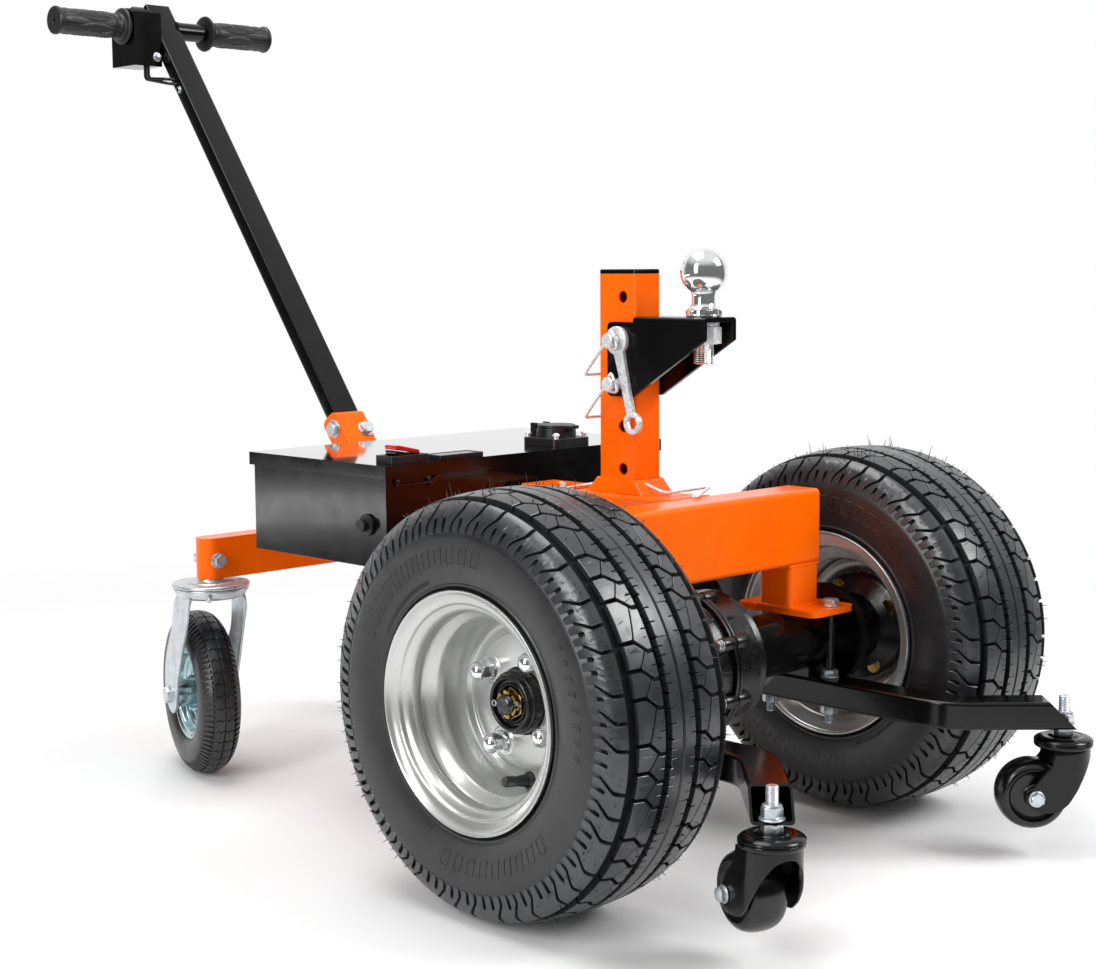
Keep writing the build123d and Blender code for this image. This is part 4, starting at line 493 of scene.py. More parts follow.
# Moulded ABS with a fine spark texture, and the same polished, on the rocker's frame and the gauge
abs_black = moulded("black_abs", "#101012", "#17171a", 0.42, 0.9, 0.05)
gloss_abs = moulded("gloss_black_abs", "#08080a", "#0c0c0e", 0.14, 3.0, 0.01)
# Red rocker, polished polycarbonate that looks lit from within
red_rocker = moulded("red_polycarbonate", "#b3130f", "#c81a14", 0.16, 3.0, 0.01, Coat_Weight=0.4)
# Hand grip: soft PVC with a matt skin
grip_pvc = moulded("grip_pvc", "#0d0d0e", "#141416", 0.42, 1.0, 0.05)
# Cable sheath: extruded PVC, smoother than the grip
cable_pvc = moulded("cable_pvc", "#0d0d0e", "#151517", 0.4, 2.0, 0.02)
# Battery case: grey ABS with a coarse mould texture
battery_abs = moulded("battery_case_abs", "#2b2d31", "#34363b", 0.5, 1.2, 0.08)
# Solid roller: nylon, with the sheen of its mould
roller_nylon = moulded("roller_nylon", "#0b0b0c", "#121214", 0.2, 4.0, 0.02)

finishes = {
    "orange_powder_coat": orange_coat, "black_powder_coat": black_coat, "cast_housing": cast_black,
    "silver_paint": silver_paint, "tyre_rubber": tyre_rubber, "chrome_plate": chrome, "zinc_plate": zinc,
    "hub_black": cast_black, "black_plastic": abs_black, "red_plastic": red_rocker, "grip_rubber": grip_pvc,
    "cable_sheath": cable_pvc, "battery_case": battery_abs, "roller_plastic": roller_nylon,
}


def give(item, material):
    item.data.materials.clear()
    item.data.materials.append(material)
    return item


for row in frame["record"]["subparts"]:
    carried = nodes[row["node"]]
    for slot in carried.material_slots:
        slot.material = finishes[row["material_slot"]]
    if not carried.material_slots:
        carried.data.materials.append(finishes[row["material_slot"]])


def finish_piece(item, body, slot, material, *stands_for):
    """Give a piece its material, and let it ride on its body in place of the nodes named."""
    give(item, material)
    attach(item, body)
    if stands_for:
        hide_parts(*stands_for)
    return item


def place_pairs(pieces, place_of):
    """Copy each master to both sides: to its two bodies or, without one, joined on the chassis.

    A row is name, master, slot, material and the starts of the names of the body and of the node replaced.
    """
    for name, master, slot, material, body, node in pieces:
        twins = [copied(master, name + "_" + word, place_of(name, word, side)) for word, side in SIDES]
        if body:
            for twin, (word, side) in zip(twins, SIDES):
                finish_piece(twin, body + word, slot, material, *([node + word] if node else []))
        else:
            finish_piece(joined(name + "s", *twins), "chassis", slot, material, node)
        bpy.data.objects.remove(master)

# Drive tyre, modelled with its outer face towards +X and its centre at the origin
CROWN = [(0, 209.5), (14, 209.3), (28, 208.6), (42, 207.2), (55, 205), (64, 202.6), (70.5, 198.6),
         (75.2, 192), (78.4, 182.5), (80.4, 170), (81.1, 156), (79.6, 141), (76.2, 126)]


def smooth_line(points, per_span=6):
    """A soft line through points, with more points along it."""
    out = []
    for n in range(len(points) - 1):
        p0 = Vector(points[max(n - 1, 0)])
        p1, p2 = Vector(points[n]), Vector(points[n + 1])
        p3 = Vector(points[min(n + 2, len(points) - 1)])
        for k in range(per_span):
            t = k / per_span
            out.append(0.5 * ((2 * p1) + (p2 - p0) * t + (2 * p0 - 5 * p1 + 4 * p2 - p3) * t * t
                              + (3 * p1 - p0 - 3 * p2 + p3) * t ** 3))
    out.append(Vector(points[-1]))
    return out


def runs_of(line):
    """Distance along a line at each of its points."""
    runs = [0.0]
    for first, second in zip(line, line[1:]):
        runs.append(runs[-1] + (second - first).length)
    return runs


crown_line = smooth_line(CROWN)
crown_runs = runs_of(crown_line)


def crown_at(s, line=None, runs=None):
    """(along X, radius) and outward normal at a distance s from the tread's middle."""
    line, runs = line or crown_line, runs or crown_runs
    reach = min(abs(s), runs[-1] - 0.01)
    n = max(k for k, run in enumerate(runs) if run <= reach)
    t = (reach - runs[n]) / (runs[n + 1] - runs[n])
    spot = line[n].lerp(line[n + 1], t)
    along = (line[n + 1] - line[n]).normalized()
    side = 1 if s >= 0 else -1
    return (spot.x * side, spot.y), (-along.y * side, along.x)


def wrap_on_tyre(item, round_length, line=None, runs=None):
    """Bend a flat piece onto the tyre: X is the way across, Y the way round, Z the height."""
    for vertex in item.data.vertices:
        s, v, h = (c / MM for c in vertex.co)
        (x, r), (nx, nr) = crown_at(s, line, runs)
        x += nx * h
        r += nr * h
        turn = v / round_length * 2 * math.pi
        vertex.co = (x * MM, r * math.cos(turn) * MM, r * math.sin(turn) * MM)


def slit(path):
    """The two sides of a thin cut along a path that starts at the edge of a block."""
    side_a = [(s, v - SLIT_HALF) for s, v in path]
    side_b = [(s, v + SLIT_HALF) for s, v in path]
    return side_a + side_b[::-1]


def shoulder_bar(v, pitch, notches):
    """A long bar from the outer groove down onto the sidewall, with comb notches and thin cuts."""
    g = GROOVE_HALF
    top = v + pitch - 2 * g
    at = v + BAR_RISE + 1.8 + g
    outline = rounded([(BAR_INNER, v + g), (BAR_BEND, v + g + 0.4), (BAR_KNEE, v + BAR_RISE + g),
                       (BAR_OUTER, at)], 2.0)[:-1]
    span = top - v
    finger = (span - 1.2 - notches * NOTCH_WIDTH) / (notches + 1)
    for n in range(notches + 1):
        tip = [(BAR_OUTER - 3.0, at), (BAR_OUTER, at + 0.3), (BAR_OUTER, at + finger - 0.3),
               (BAR_OUTER - 3.0, at + finger)]
        outline += rounded(tip, 2.8, 4)
        at += finger
        if n < notches:
            root = BAR_OUTER - NOTCH_DEPTH
            notch = [(root + 4, at - 1.4), (root, at - 2.6), (root, at + NOTCH_WIDTH - 3.0),
                     (root + 4, at + NOTCH_WIDTH - 1.8)]
            outline += rounded(notch, 2.2)
            at += NOTCH_WIDTH
    outline += rounded([(BAR_KNEE, top + BAR_RISE + g), (BAR_BEND, top + g + 0.4), (BAR_INNER, top + g)],
                       2.0)
    for n in (2, 1):
        start = v + g + span * n / 3
        outline += slit([(BAR_INNER, start), (79.0, start + 0.3), (87.5, start + 7.6)])
    return outline


def block_pair(v, pitch):
    """Two five-sided blocks that a thin cut parts, between two cross grooves of the middle row."""
    g = GROOVE_HALF
    kink, foot, drop = 42.5, 29.5, 10.7
    inner, outer = BLOCK_INNER, BLOCK_OUTER
    top = v + pitch
    split_top = (33.5, top - g - 7.6)
    split_low = (kink, v + g + 0.2)
    dash = [(outer, v + pitch * 0.62), (outer - 5.5, v + pitch * 0.62 - 0.4)]
    dashes = slit(dash)
    if pitch > 30:
        dashes += slit([(outer, v + pitch * 0.3), (outer - 5.0, v + pitch * 0.3 - 0.4)])
    left = rounded([(outer, v + g), split_low, split_top, (kink, top - g), (outer, top - g)], 1.6,
                   2) + dashes
    shift = 1.1
    right = [(split_low[0] - shift, split_low[1] - 0.4), (foot, v + g - drop), (inner, v + g - drop)]
    right += slit([(inner, v - drop + pitch * 0.5), (inner + 5.5, v - drop + pitch * 0.5)])
    right += [(inner, top - g - drop), (foot + 1.2, top - g - drop),
              (split_top[0] - shift, split_top[1] - 0.5)]
    return [left, right]


def middle_rib():
    """One side's narrow rib, its outer edge stepped, for one set of pitches."""
    edge = []
    v = 0.0
    for pitch in PITCHES:
        edge += [(RIB_OUTER - 2.4, v), (RIB_OUTER - 0.2, v + 2.2)]
        for part in (0.35, 0.68):
            edge += slit([(RIB_OUTER - 0.2 + part, v + pitch * part), (RIB_OUTER - 5.6, v + pitch * part)])
        edge += [(RIB_OUTER + 0.6, v + pitch - 0.6)]
        v += pitch
    return [(RIB_INNER, 0.0)] + edge + [(RIB_INNER, v)]


def tread_set():
    """One set of a long and two short pitches, flat, for the whole width of the tyre."""
    flat = []
    v = 0.0
    for pitch in PITCHES:
        flat += block_pair(v, pitch)
        flat.append(shoulder_bar(v + LONG_PITCH + 7.0, pitch, 2 if pitch == LONG_PITCH else 1))
        v += pitch
    flat.append(middle_rib())
    flat += [[(-s, 31.0 - v) for s, v in outline] for outline in flat]
    flat.append([(-0.7, 0), (0.3, 0), (0.3, SET_LENGTH), (-0.7, SET_LENGTH)])
    item = mesh_from_curve("tread", flat, TREAD_DEPTH / 2 - TREAD_EDGE, TREAD_EDGE)
    moved(item, 0, 0, -TREAD_DEPTH / 2)
    cut_at(item, [(1, n * 9.4) for n in range(-8, 25)] + [
        (0, side * (s + 0.05)) for s in (8, 20, 38, 55, 70, 78, 86, 93) for side in (-1, 1)])
    wrap_on_tyre(item, SET_LENGTH * TREAD_SETS)
    return item


# Arcs of frames: middle in radians, how many, pitch, width, height and radius in millimetres
SIDEWALL_ARCS = [(2.08, 12, 17.5, 11, 18, 151), (-1.27, 9, 18, 11, 17, 148), (0.28, 9, 14.5, 5.4, 10, 153),
                 (2.3, 34, 2.6, 1.2, 4.4, 130), (-2.2, 26, 2.6, 1.2, 4.4, 131)]


# Rows of vent holes across the tyre, and how long the hairs are that they leave
HAIR_ROWS = (-97, -84, -72, -50, -30, 30, 50, 72, 84, 97, 97, 84)
HAIR_LENGTHS = (2.5, 6.5)


def vent_hairs(count, seed):
    """Thin rubber hairs that the mould's vents leave on the tread and the shoulders, longest on top."""
    picks = random.Random(seed)
    hairs = []
    master = primitive(bpy.ops.mesh.primitive_cone_add, vertices=4, radius1=0.5 * MM, radius2=0.2 * MM,
                       depth=1.0 * MM, end_fill_type="NGON")
    moved(master, 0, 0, 0.5)
    for n in range(count):
        turn = picks.uniform(0, 2 * math.pi)
        s = picks.choice(HAIR_ROWS) + picks.uniform(-3, 3)
        length = picks.uniform(*HAIR_LENGTHS)
        if abs(math.remainder(turn + math.pi / 2, 2 * math.pi)) < 0.45:
            continue
        if abs(math.remainder(turn - math.pi / 2, 2 * math.pi)) < 0.4 and n % 3 == 0:
            length *= 2.4
        (x, r), (nx, nr) = crown_at(s)
        out = Vector((nx, nr * math.cos(turn), nr * math.sin(turn)))
        tilt = Vector([picks.uniform(-0.35, 0.35) for _ in range(3)])
        foot = Vector((x, r * math.cos(turn), r * math.sin(turn))) - out * 0.3
        aim = (out + tilt).normalized()
        tip = foot + aim * length
        if abs(tip.x) > 81.4 or math.hypot(tip.y, tip.z) > 209.3 and abs(math.sin(turn)) < 0.02:
            continue
        place = Matrix.Translation(foot * MM) @ aim.to_track_quat("Z", "Y").to_matrix().to_4x4()
        hairs.append(copied(master, "hair", place @ Matrix.Diagonal((1, 1, length, 1))))
    bpy.data.objects.remove(master)
    return joined("hairs", *hairs)


def groove_depth(s):
    """Depth of the grooves, which run out over the shoulder."""
    return GROOVE_DEPTH if s < 72 else GROOVE_DEPTH * max(0.0, 1 - (s - 72) / 30.0) ** 0.8


def tyre_body():
    """The tyre without its blocks: groove floors, sidewalls with fine rings, beads and inside."""
    floor = []
    n = 0
    while n <= crown_runs[-1]:
        (x, r), (nx, nr) = crown_at(n)
        deep = groove_depth(n)
        floor.append((x - nx * deep, r - nr * deep))
        n += 4.0 if n < 60 else 2.5
    side = [(75.6, 124.6), (76.4, 123.4), (76.2, 121.8), (74.9, 120.9), (73.2, 119.6), (72.4, 118.4),
            (71, 114), (69, 109), (66.2, 104.5), (65.6, 102.2), (50, 102)]
    half = floor + side
    inner = [(46, 114), (64, 132), (72.5, 156), (68, 182), (52, 191), (0, 194)]
    outline = half + inner + [(-x, r) for x, r in inner[:-1][::-1]] + [(-x, r) for x, r in half[:0:-1]]
    return lathed("tyre_body", outline, 168)


def groove_floor():
    """The dull floor of the tread's grooves, a skin over the tyre's body that carries their painted shade.
    """
    outer, inner = [], []
    for n in range(-93, 94, 3):
        (x, r), (nx, nr) = crown_at(n + 0.01)
        deep = groove_depth(abs(n))
        outer.append((x - nx * (deep - 0.25), r - nr * (deep - 0.25)))
        inner.append((x - nx * (deep + 2.0), r - nr * (deep + 2.0)))
    return soften(lathed("groove_floor", outer + inner[::-1], 168), 38)


def sidewall_at(r):
    """How far out the sidewall stands at a radius."""
    spots = [(x, rr) for x, rr in CROWN if rr < 195]
    for (x0, r0), (x1, r1) in zip(spots, spots[1:]):
        if r1 <= r <= r0:
            return x0 + (x1 - x0) * (r0 - r) / (r0 - r1)
    return spots[-1][0]


def leaning_frame(half_w, half_h, lean, corner):
    """Outline of an upright frame whose top leans to one side."""
    points = [(-half_w - lean, -half_h), (half_w - lean, -half_h), (half_w + lean, half_h),
              (-half_w + lean, half_h)]
    return rounded(points, corner, 2, closed=True)


def wrap_on_sidewall(item, side, middle, along, radius):
    """Bend a flat mark onto a sidewall: X is the way round, Y the way out, Z the height."""
    for vertex in item.data.vertices:
        u, v, h = (c / MM for c in vertex.co)
        r = radius + v
        turn = middle - (along + u) / radius * side
        x = side * (sidewall_at(r) - 0.15 + h * 0.9)
        vertex.co = (x * MM, r * math.cos(turn) * MM, r * math.sin(turn) * MM)


def sidewall_marks():
    """Plain raised frames in three arcs on each sidewall, and a fine ring of ticks by the bead."""
    marks = []
    stroke = 1.7
    for middle, count, pitch, width, height, radius in SIDEWALL_ARCS:
        lean = height * 0.12
        shapes = [leaning_frame(width / 2, height / 2, lean, 1.6)]
        if width > 3 * stroke:
            shapes.append(leaning_frame(width / 2 - stroke, height / 2 - stroke, lean * 0.7, 0.8))
        flat = mesh_from_curve("mark", shapes, 0.7, 0.2)
        for n in range(count):
            for side in (1, -1):
                mark = copied(flat, "mark", Matrix.Identity(4))
                wrap_on_sidewall(mark, side, middle, (n - (count - 1) / 2) * pitch, radius)
                marks.append(mark)
        bpy.data.objects.remove(flat)
    return in_edit_mode(joined("sidewall_marks", *marks), face_outwards)


def tyre_tread():
    one_set = tread_set()
    sets = [copied(one_set, "tread", Matrix.Rotation(2 * math.pi * n / TREAD_SETS, 4, "X"))
            for n in range(TREAD_SETS)]
    bpy.data.objects.remove(one_set)
    return soften(joined("drive_tread", *sets), 38)


def tyre_carcass():
    return soften(joined("drive_tyre", tyre_body(), sidewall_marks(), vent_hairs(760, 7)), 38)


# Drive wheel rim and hub
def drive_rim():
    outer = [(79, 117.2), (78.6, 118), (77.4, 118), (73, 116.8), (70, 111.5), (67.5, 104.6), (64.5, 101.7),
             (52, 100.2), (46, 97.6), (40, 91), (30, 87), (18, 85), (-35, 84), (-45, 100.1), (-66, 101.6),
             (-68, 106.6), (-73, 117.5), (-79, 118)]
    inner = [(-79, 115.6), (-74.6, 114.6), (-70.2, 105), (-66.5, 98.8), (-46, 97.2), (-36.5, 81.2),
             (-6, 81), (16, 81.6), (29, 83.2), (38, 86.4), (43, 92.4), (46, 95.8), (49, 97.4), (51.6, 97),
             (53.4, 94.8), (56, 94.2), (61, 95.4), (64.6, 97.6), (66.6, 100.6), (68.2, 103.4),
             (70.8, 104.6), (71.8, 106), (73.4, 110.4), (75.6, 113.6), (77.6, 115.4)]
    barrel = lathed("rim", outer + inner, 128, radius=2.2)
    disc = lathed("disc", [(3.2, 33), (3.2, 62), (2.6, 66.5), (-1, 70.5), (-2.8, 74), (-2.4, 78),
                           (2, 81.3), (5, 82.4), (5, 83.4), (-1, 83.4), (-6.4, 79), (-6.4, 73), (-4, 68),
                           (0, 63), (0, 33)], 96, radius=1.0)
    rings = []
    for y, z in lug_places():
        seat = lathed("seat", [(3, 9), (4.2, 10), (4.2, 13.6), (3.4, 15.2), (2.6, 15.4), (2.6, 9)], 40,
                      radius=0.5)
        rings.append(moved(seat, 0, y, z))
    return soften(joined("rim", barrel, disc, *rings), 40)


LUG_CIRCLE = 50.8
LUG_TURN = 59.6


def lug_places():
    """The four (y, z) places of the studs round the hub."""
    return [on_circle(LUG_CIRCLE, LUG_TURN + 90 * n) for n in range(4)]


def acorn_nuts():
    """Chrome acorn nuts with conical skirts."""
    whole = []
    for y, z in lug_places():
        skirt = lathed("skirt", [(3.2, 0), (3.2, 11.6), (5.4, 11), (7.4, 9.4), (7.4, 0)], 32)
        flats = bar_between("flats", (6, 0, 0), (20.5, 0, 0), 10.7, 6, 0.8)
        crown = lathed("crown", [(19.5, 0), (19.5, 10), (21, 9.9), (24, 8.6), (26.4, 6), (27.6, 2.8),
                                 (27.9, 0)], 32)
        whole.append(moved(joined("nut", skirt, flats, crown), 0, y, z))
    return soften(joined("nuts", *whole), 30)


def hub_body():
    profile = [(-38, 0), (-38, 36), (-20, 39), (-12, 58), (-10, 62), (0, 62), (0, 32.4), (3, 32),
               (12, 31.4), (14.5, 30.6), (14.5, 29), (17.5, 28.4), (19.6, 27.6), (20.6, 25.6),
               (19.8, 23.8), (14, 22.8), (14, 19.6), (16.2, 19.2), (16.6, 17.6), (12, 16.6), (6, 16.4),
               (6, 0)]
    body = lathed("hub", profile, 72, radius=0.9, closed=False)
    shaft = bar_between("shaft", (-82, 0, 0), (-37, 0, 0), 14.0, 32)
    return soften(joined("hub", body, shaft), 30)


def castle_nut():
    """Slotted nut on the stub shaft: a hexagon with six merlons."""
    parts = [bar_between("castle", (6, 0, 0), (17, 0, 0), 16.6, 6, 1.0)]
    for n in range(6):
        merlon = primitive(bpy.ops.mesh.primitive_cube_add, size=1.0)
        shaped(merlon, shift(20.2, 0, 11.6) @ Matrix.Diagonal((7.0 * MM, 8.6 * MM, 4.6 * MM, 1)))
        shaped(merlon, Matrix.Rotation(math.radians(60 * n), 4, "X"))
        parts.append(bevelled(merlon, 0.8))
    return soften(joined("castle", *parts), 30)


def shaft_thread():
    """The stub shaft's threaded end."""
    profile = [(14, 0)]
    for n in range(9):
        start = 15.0 + n * 1.4
        profile += [(start, 8.6), (start + 0.7, 9.3)]
    profile += [(28, 8.6), (28.6, 7.6), (28.6, 0)]
    return soften(lathed("thread", profile, 40, closed=False), 20)


def split_pin():
    """Split pin through the castle nut, its eye on one side and its legs bent back."""
    path = [(21, -17.5, 0.7), (21, 15, 0.7), (22, 18, 1), (27, 19.6, 3.5)]
    legs = [bent_wire("leg", [(x, y, z * side) for x, y, z in path], 0.75, resolution=3)
            for side in (1, -1)]
    eye = primitive(bpy.ops.mesh.primitive_torus_add, major_radius=2.6 * MM, minor_radius=0.8 * MM,
                    major_segments=20, minor_segments=8)
    shaped(eye, shift(21, -19.8) @ Matrix.Rotation(math.pi / 2, 4, "X") @ Matrix.Rotation(math.pi / 2, 4,
                                                                                          "Y"))
    return soften(shaped(joined("split_pin", *legs, eye), Matrix.Rotation(math.radians(6), 4, "X")), 40)


def stud_heads():
    """Pressed-in stud heads on the inboard side of the hub flange."""
    heads = []
    for y, z in lug_places():
        head = lathed("head", [(-12, 0), (-12, 9.4), (-14.6, 9.4), (-15.6, 8.4), (-15.6, 0)], 24)
        heads.append(moved(head, 0, y, z))
    return soften(joined("stud_heads", *heads), 30)


def tyre_valve():
    """Rubber valve low in the well, with its cap."""
    profile = [(0, 0), (0, 9), (2.5, 8.4), (5, 6.4), (12, 5.6), (20, 4.6), (21, 4.2), (21, 5.4), (31, 5.2),
               (33, 3.6), (33, 0)]
    base = lathed("valve", profile, 28, radius=0.6, closed=False)
    turn = math.radians(24 - 180)
    lean = Matrix.Rotation(math.radians(8), 4, "Y")
    return soften(shaped(base, Matrix.Rotation(turn, 4, "X") @ shift(22, 0, 76) @ lean), 35)


def wheel_place(name, word, side):
    flip = Matrix.Identity(4) if side > 0 else Matrix.Rotation(math.pi, 4, "Z")
    return shift(side * TRACK_HALF, AXLE_Y, AXLE_Z) @ flip


place_pairs([
    ("drive_tyre", tyre_carcass(), "tyre_rubber", tyre_rubber, "drive_wheel_", "tyre_"),
    ("drive_tread", tyre_tread(), "tyre_rubber", tread_rubber_painted_light, "drive_wheel_", None),
    ("groove_floor", groove_floor(), "tyre_rubber", groove_rubber_painted_shade, "drive_wheel_", None),
    ("drive_rim", drive_rim(), "silver_paint", silver_paint, "drive_wheel_", "rim_"),
    ("wheel_nuts", acorn_nuts(), "chrome_plate", chrome, "drive_wheel_", "lug_nuts_"),
    ("wheel_hub", hub_body(), "hub_black", cast_black, "drive_wheel_", "hub_"),
    ("castle_nut", castle_nut(), "hub_black", yellow_zinc, "drive_wheel_", None),
    ("stub_thread", shaft_thread(), "hub_black", dark_steel, "drive_wheel_", None),
    ("split_pin", split_pin(), "hub_black", zinc, "drive_wheel_", None),
    ("stud_heads", stud_heads(), "hub_black", yellow_zinc, "drive_wheel_", None),
    ("tyre_valve", tyre_valve(), "tyre_rubber", tyre_rubber, "drive_wheel_", None),
], wheel_place)


# Rear casters, modelled with the swivel axis upright at the origin and the wheel trailing to +Y
REAR_CROWN = [(0, 102), (7, 101.4), (13.5, 99.2), (19, 95), (23, 89), (25.4, 81), (26, 73), (24.8, 65),
              (22, 59.6)]
REAR_SETS = 42
REAR_SET_LENGTH = 15.26
REAR_TREAD_DEPTH = 3.4
REAR_TREAD_EDGE = 0.3
REAR_GROOVE = 2.9
REAR_RACE_Z = 235.5
REAR_HALF = 38.0
rear_line = smooth_line(REAR_CROWN)
rear_runs = runs_of(rear_line)


def rear_tread():
    """Chevron blocks along the middle and two short bars on each shoulder for every one of them."""
    p = REAR_SET_LENGTH
    flat = []
    for side in (1, -1):
        low = [(0.6, 0.9), (4.2, 4.2), (7.6, 1.4), (12.4, 4.6)]
        block = low + [(12.4, p + 3.2), (7.6, p - 0.2), (4.2, p + 2.6), (0.6, p - 0.7)]
        flat.append([(side * s, v) for s, v in block])
        for n in range(2):
            start = n * p / 2 + 1.0
            bar = [(15.0, start), (22.0, start + 0.6), (30.5, start + 3.0), (30.5, start + 5.6),
                   (22.0, start + 5.0), (15.0, start + 4.9)]
            flat.append([(side * s, v + 3.0) for s, v in rounded(bar, 0.8, 1, closed=True)])
    item = mesh_from_curve("rear_tread", flat, REAR_TREAD_DEPTH / 2 - REAR_TREAD_EDGE, REAR_TREAD_EDGE)
    moved(item, 0, 0, -REAR_TREAD_DEPTH / 2)
    cut_at(item, [(0, side * s) for s in (4, 8, 18, 22, 26) for side in (-1, 1)])
    wrap_on_tyre(item, p * REAR_SETS, rear_line, rear_runs)
    sets = [copied(item, "set", Matrix.Rotation(2 * math.pi * n / REAR_SETS, 4, "X"))
            for n in range(REAR_SETS)]
    bpy.data.objects.remove(item)
    floor = []
    n = 0.0
    while n <= rear_runs[-1]:
        (x, r), (nx, nr) = crown_at(n, rear_line, rear_runs)
        deep = REAR_GROOVE if n < 20 else REAR_GROOVE * max(0.0, 1 - (n - 20) / 12.0)
        floor.append((x - nx * deep, r - nr * deep))
        n += 2.4
    half = floor + [(21.6, 59), (20.8, 58.4), (20.2, 59.4), (19.4, 58), (17.6, 57.9), (17.6, 52.4),
                    (8, 52.4)]
    body = lathed("rear_body", half + [(-x, r) for x, r in half[:0:-1]], 120)
    return soften(joined("rear_tyre", body, *sets), 38)


def rear_rim():
    """Two pressed halves bolted back to back round a hub tube."""
    half = [(17.4, 58), (18.6, 58.6), (19.8, 57.8), (19.8, 55.6), (18.2, 53.2), (16.8, 51.6), (16.4, 49.6),
            (14.4, 48.6), (9, 48.2), (6.4, 46.6), (5.4, 43), (3.4, 40.6), (2.2, 38), (2.2, 24), (4.6, 21),
            (5, 17.4)]
    outer = half + [(33, 16.6), (33.5, 16), (33.5, 13.4), (32.2, 13), (32.2, 7.6), (33.5, 7.2), (33.5, 6.1)]
    back = [(17.4, 52.2), (7.2, 52)]
    outline = outer + [(-x, r) for x, r in outer[::-1]] + [(-x, r) for x, r in back] + back[::-1]
    parts = [lathed("rear_rim", outline, 96, radius=0.8)]
    for n in range(5):
        y, z = on_circle(31.0, 72 * n + 20)
        for side in (1, -1):
            parts.append(bar_between("bolt", (side * 1.0, y, z), (side * 7.0, y, z), 5.2, 6, 0.6))
            parts.append(bar_between("end", (side * 7.0, y, z), (side * 10.5, y, z), 2.9, 16, 0.4))
    stem = bar_between("valve", (6, 0, 41), (19, 0, 44), 2.6, 16, 0.6)
    return soften(joined("rear_rim", *parts, stem), 35)


def soft_rectangle(x, y, corner, steps=4):
    """Outline of a rectangle from its (low, high) pairs, its corners rounded."""
    return rounded([(x[0], y[0]), (x[1], y[0]), (x[1], y[1]), (x[0], y[1])], corner, steps, closed=True)


def bulging_leg(outline, side):
    """One drawn leg of the rear fork: it bulges round the wheel and tucks in under the cup."""
    foot, tuck_from = 76.0, REAR_RACE_Z - 14.0
    leg = cut_at(plate_shape("leg", outline, 4.0, 0.9),
                 [(axis, c * 9.0) for c in range(-40, 60) for axis in (1, 2)])
    for vertex in leg.data.vertices:
        y, z = vertex.co.y / MM, vertex.co.z / MM
        rise = math.sin(max(0.0, min(1.0, (z - foot) / (REAR_RACE_Z - foot))) * math.pi)
        middle = REAR_TRAIL - (z - REAR_WHEEL_RADIUS) * 0.28
        across = max(0.0, 1 - ((y - middle) / 40) ** 2)
        tuck = 3.0 * (z - tuck_from) / 16 if z > tuck_from else 0.0
        vertex.co.x += (REAR_HALF + 3.2 * rise * across - tuck) * MM
    if side < 0:
        in_edit_mode(shaped(leg, Matrix.Diagonal((-1, 1, 1, 1))), face_outwards)
    return leg


def rear_fork():
    """Drawn fork: a cup for the balls, two bulging legs with turned edges, and a grease nipple."""
    low = REAR_RACE_Z
    front = [(-27, low + 2), (-22, low - 22), (20, 130), (32, 102)]
    foot = [(40, 83), (54, 76.5), (70, 83)]
    rear = [(79, 108), (75, 138), (62, 158), (40, 186), (32, low - 24), (28, low + 2)]
    outline = rounded(front + foot + rear, 12.0, 4, closed=True)
    legs = [bulging_leg(outline, side) for side in (1, -1)]
    cup_profile = [(-4.2, 0), (-4.2, 36), (-2, 41), (3.5, 44.6), (5.5, 45.8), (8.6, 45.8), (9.2, 44),
                   (6.4, 42), (4.4, 38), (4.4, 0)]
    cup = upright(lathed("cup", [(low + x, r) for x, r in cup_profile], 96, radius=1.2, closed=False))
    brow = moved(plate_shape("brow", soft_rectangle((-26, 28), (low - 4, low + 1), 1.5, 2), 70.0, 0.8), 35)
    nipple = bar_between("nipple", (-16, -41, low + 1), (-18, -50, low - 1.5), 3.0, 12, 0.8)
    collar = bar_between("collar", (-15.6, -39, low + 1.4), (-17, -45.5, low - 0.3), 4.6, 6, 0.6)
    return soften(joined("rear_fork", *legs, cup, brow, nipple, collar), 38)


def rear_axle():
    """Through bolt of the wheel, with its head, nut and washers."""
    spot = (REAR_TRAIL, REAR_WHEEL_RADIUS)
    side = REAR_HALF
    rows = [("shank", -side - 2, side + 11, 5.9, 24, 0.8), ("washer", -side - 1.6, -side, 13.0, 36, 0.4),
            ("washer", side, side + 1.6, 13.0, 36, 0.4), ("head", -side - 8.6, -side - 1.6, 10.9, 6, 1.0),
            ("nut", side + 1.6, side + 8.6, 10.9, 6, 1.0)]
    parts = [bar_between(name, (start, *spot), (end, *spot), *shape) for name, start, end, *shape in rows]
    return soften(joined("rear_axle", *parts), 32)


def rear_plate():
    """Top race of the caster with the visible balls, its stem and a spacer below the bar."""
    top = 249.5
    race = [(0, 0), (0, 44), (-0.6, 46.6), (-2.4, 47.5), (-4.2, 47.2), (-5, 45), (-4, 42), (-3.6, 14),
            (-14, 12), (-19, 10), (-19, 0)]
    step = [(-0.5, 0), (-0.5, 30), (1.4, 28.4), (1.8, 17), (5, 16), (5, 0)]
    parts = [upright(lathed("race", [(top + x, r) for x, r in race], 96, radius=0.9, closed=False)),
             upright(lathed("step", [(top + x, r) for x, r in step], 64, radius=0.8, closed=False))]
    ball = primitive(bpy.ops.mesh.primitive_uv_sphere_add, segments=14, ring_count=8, radius=2.6 * MM)
    for n in range(32):
        parts.append(copied(ball, "ball", shift(*on_circle(41.6, 360 * n / 32), top - 5.6)))
    bpy.data.objects.remove(ball)
    stem = bar_between("stem", (0, 0, top), (0, 0, 298.5), 9.0, 32)
    return soften(joined("rear_plate", *parts, stem), 35)


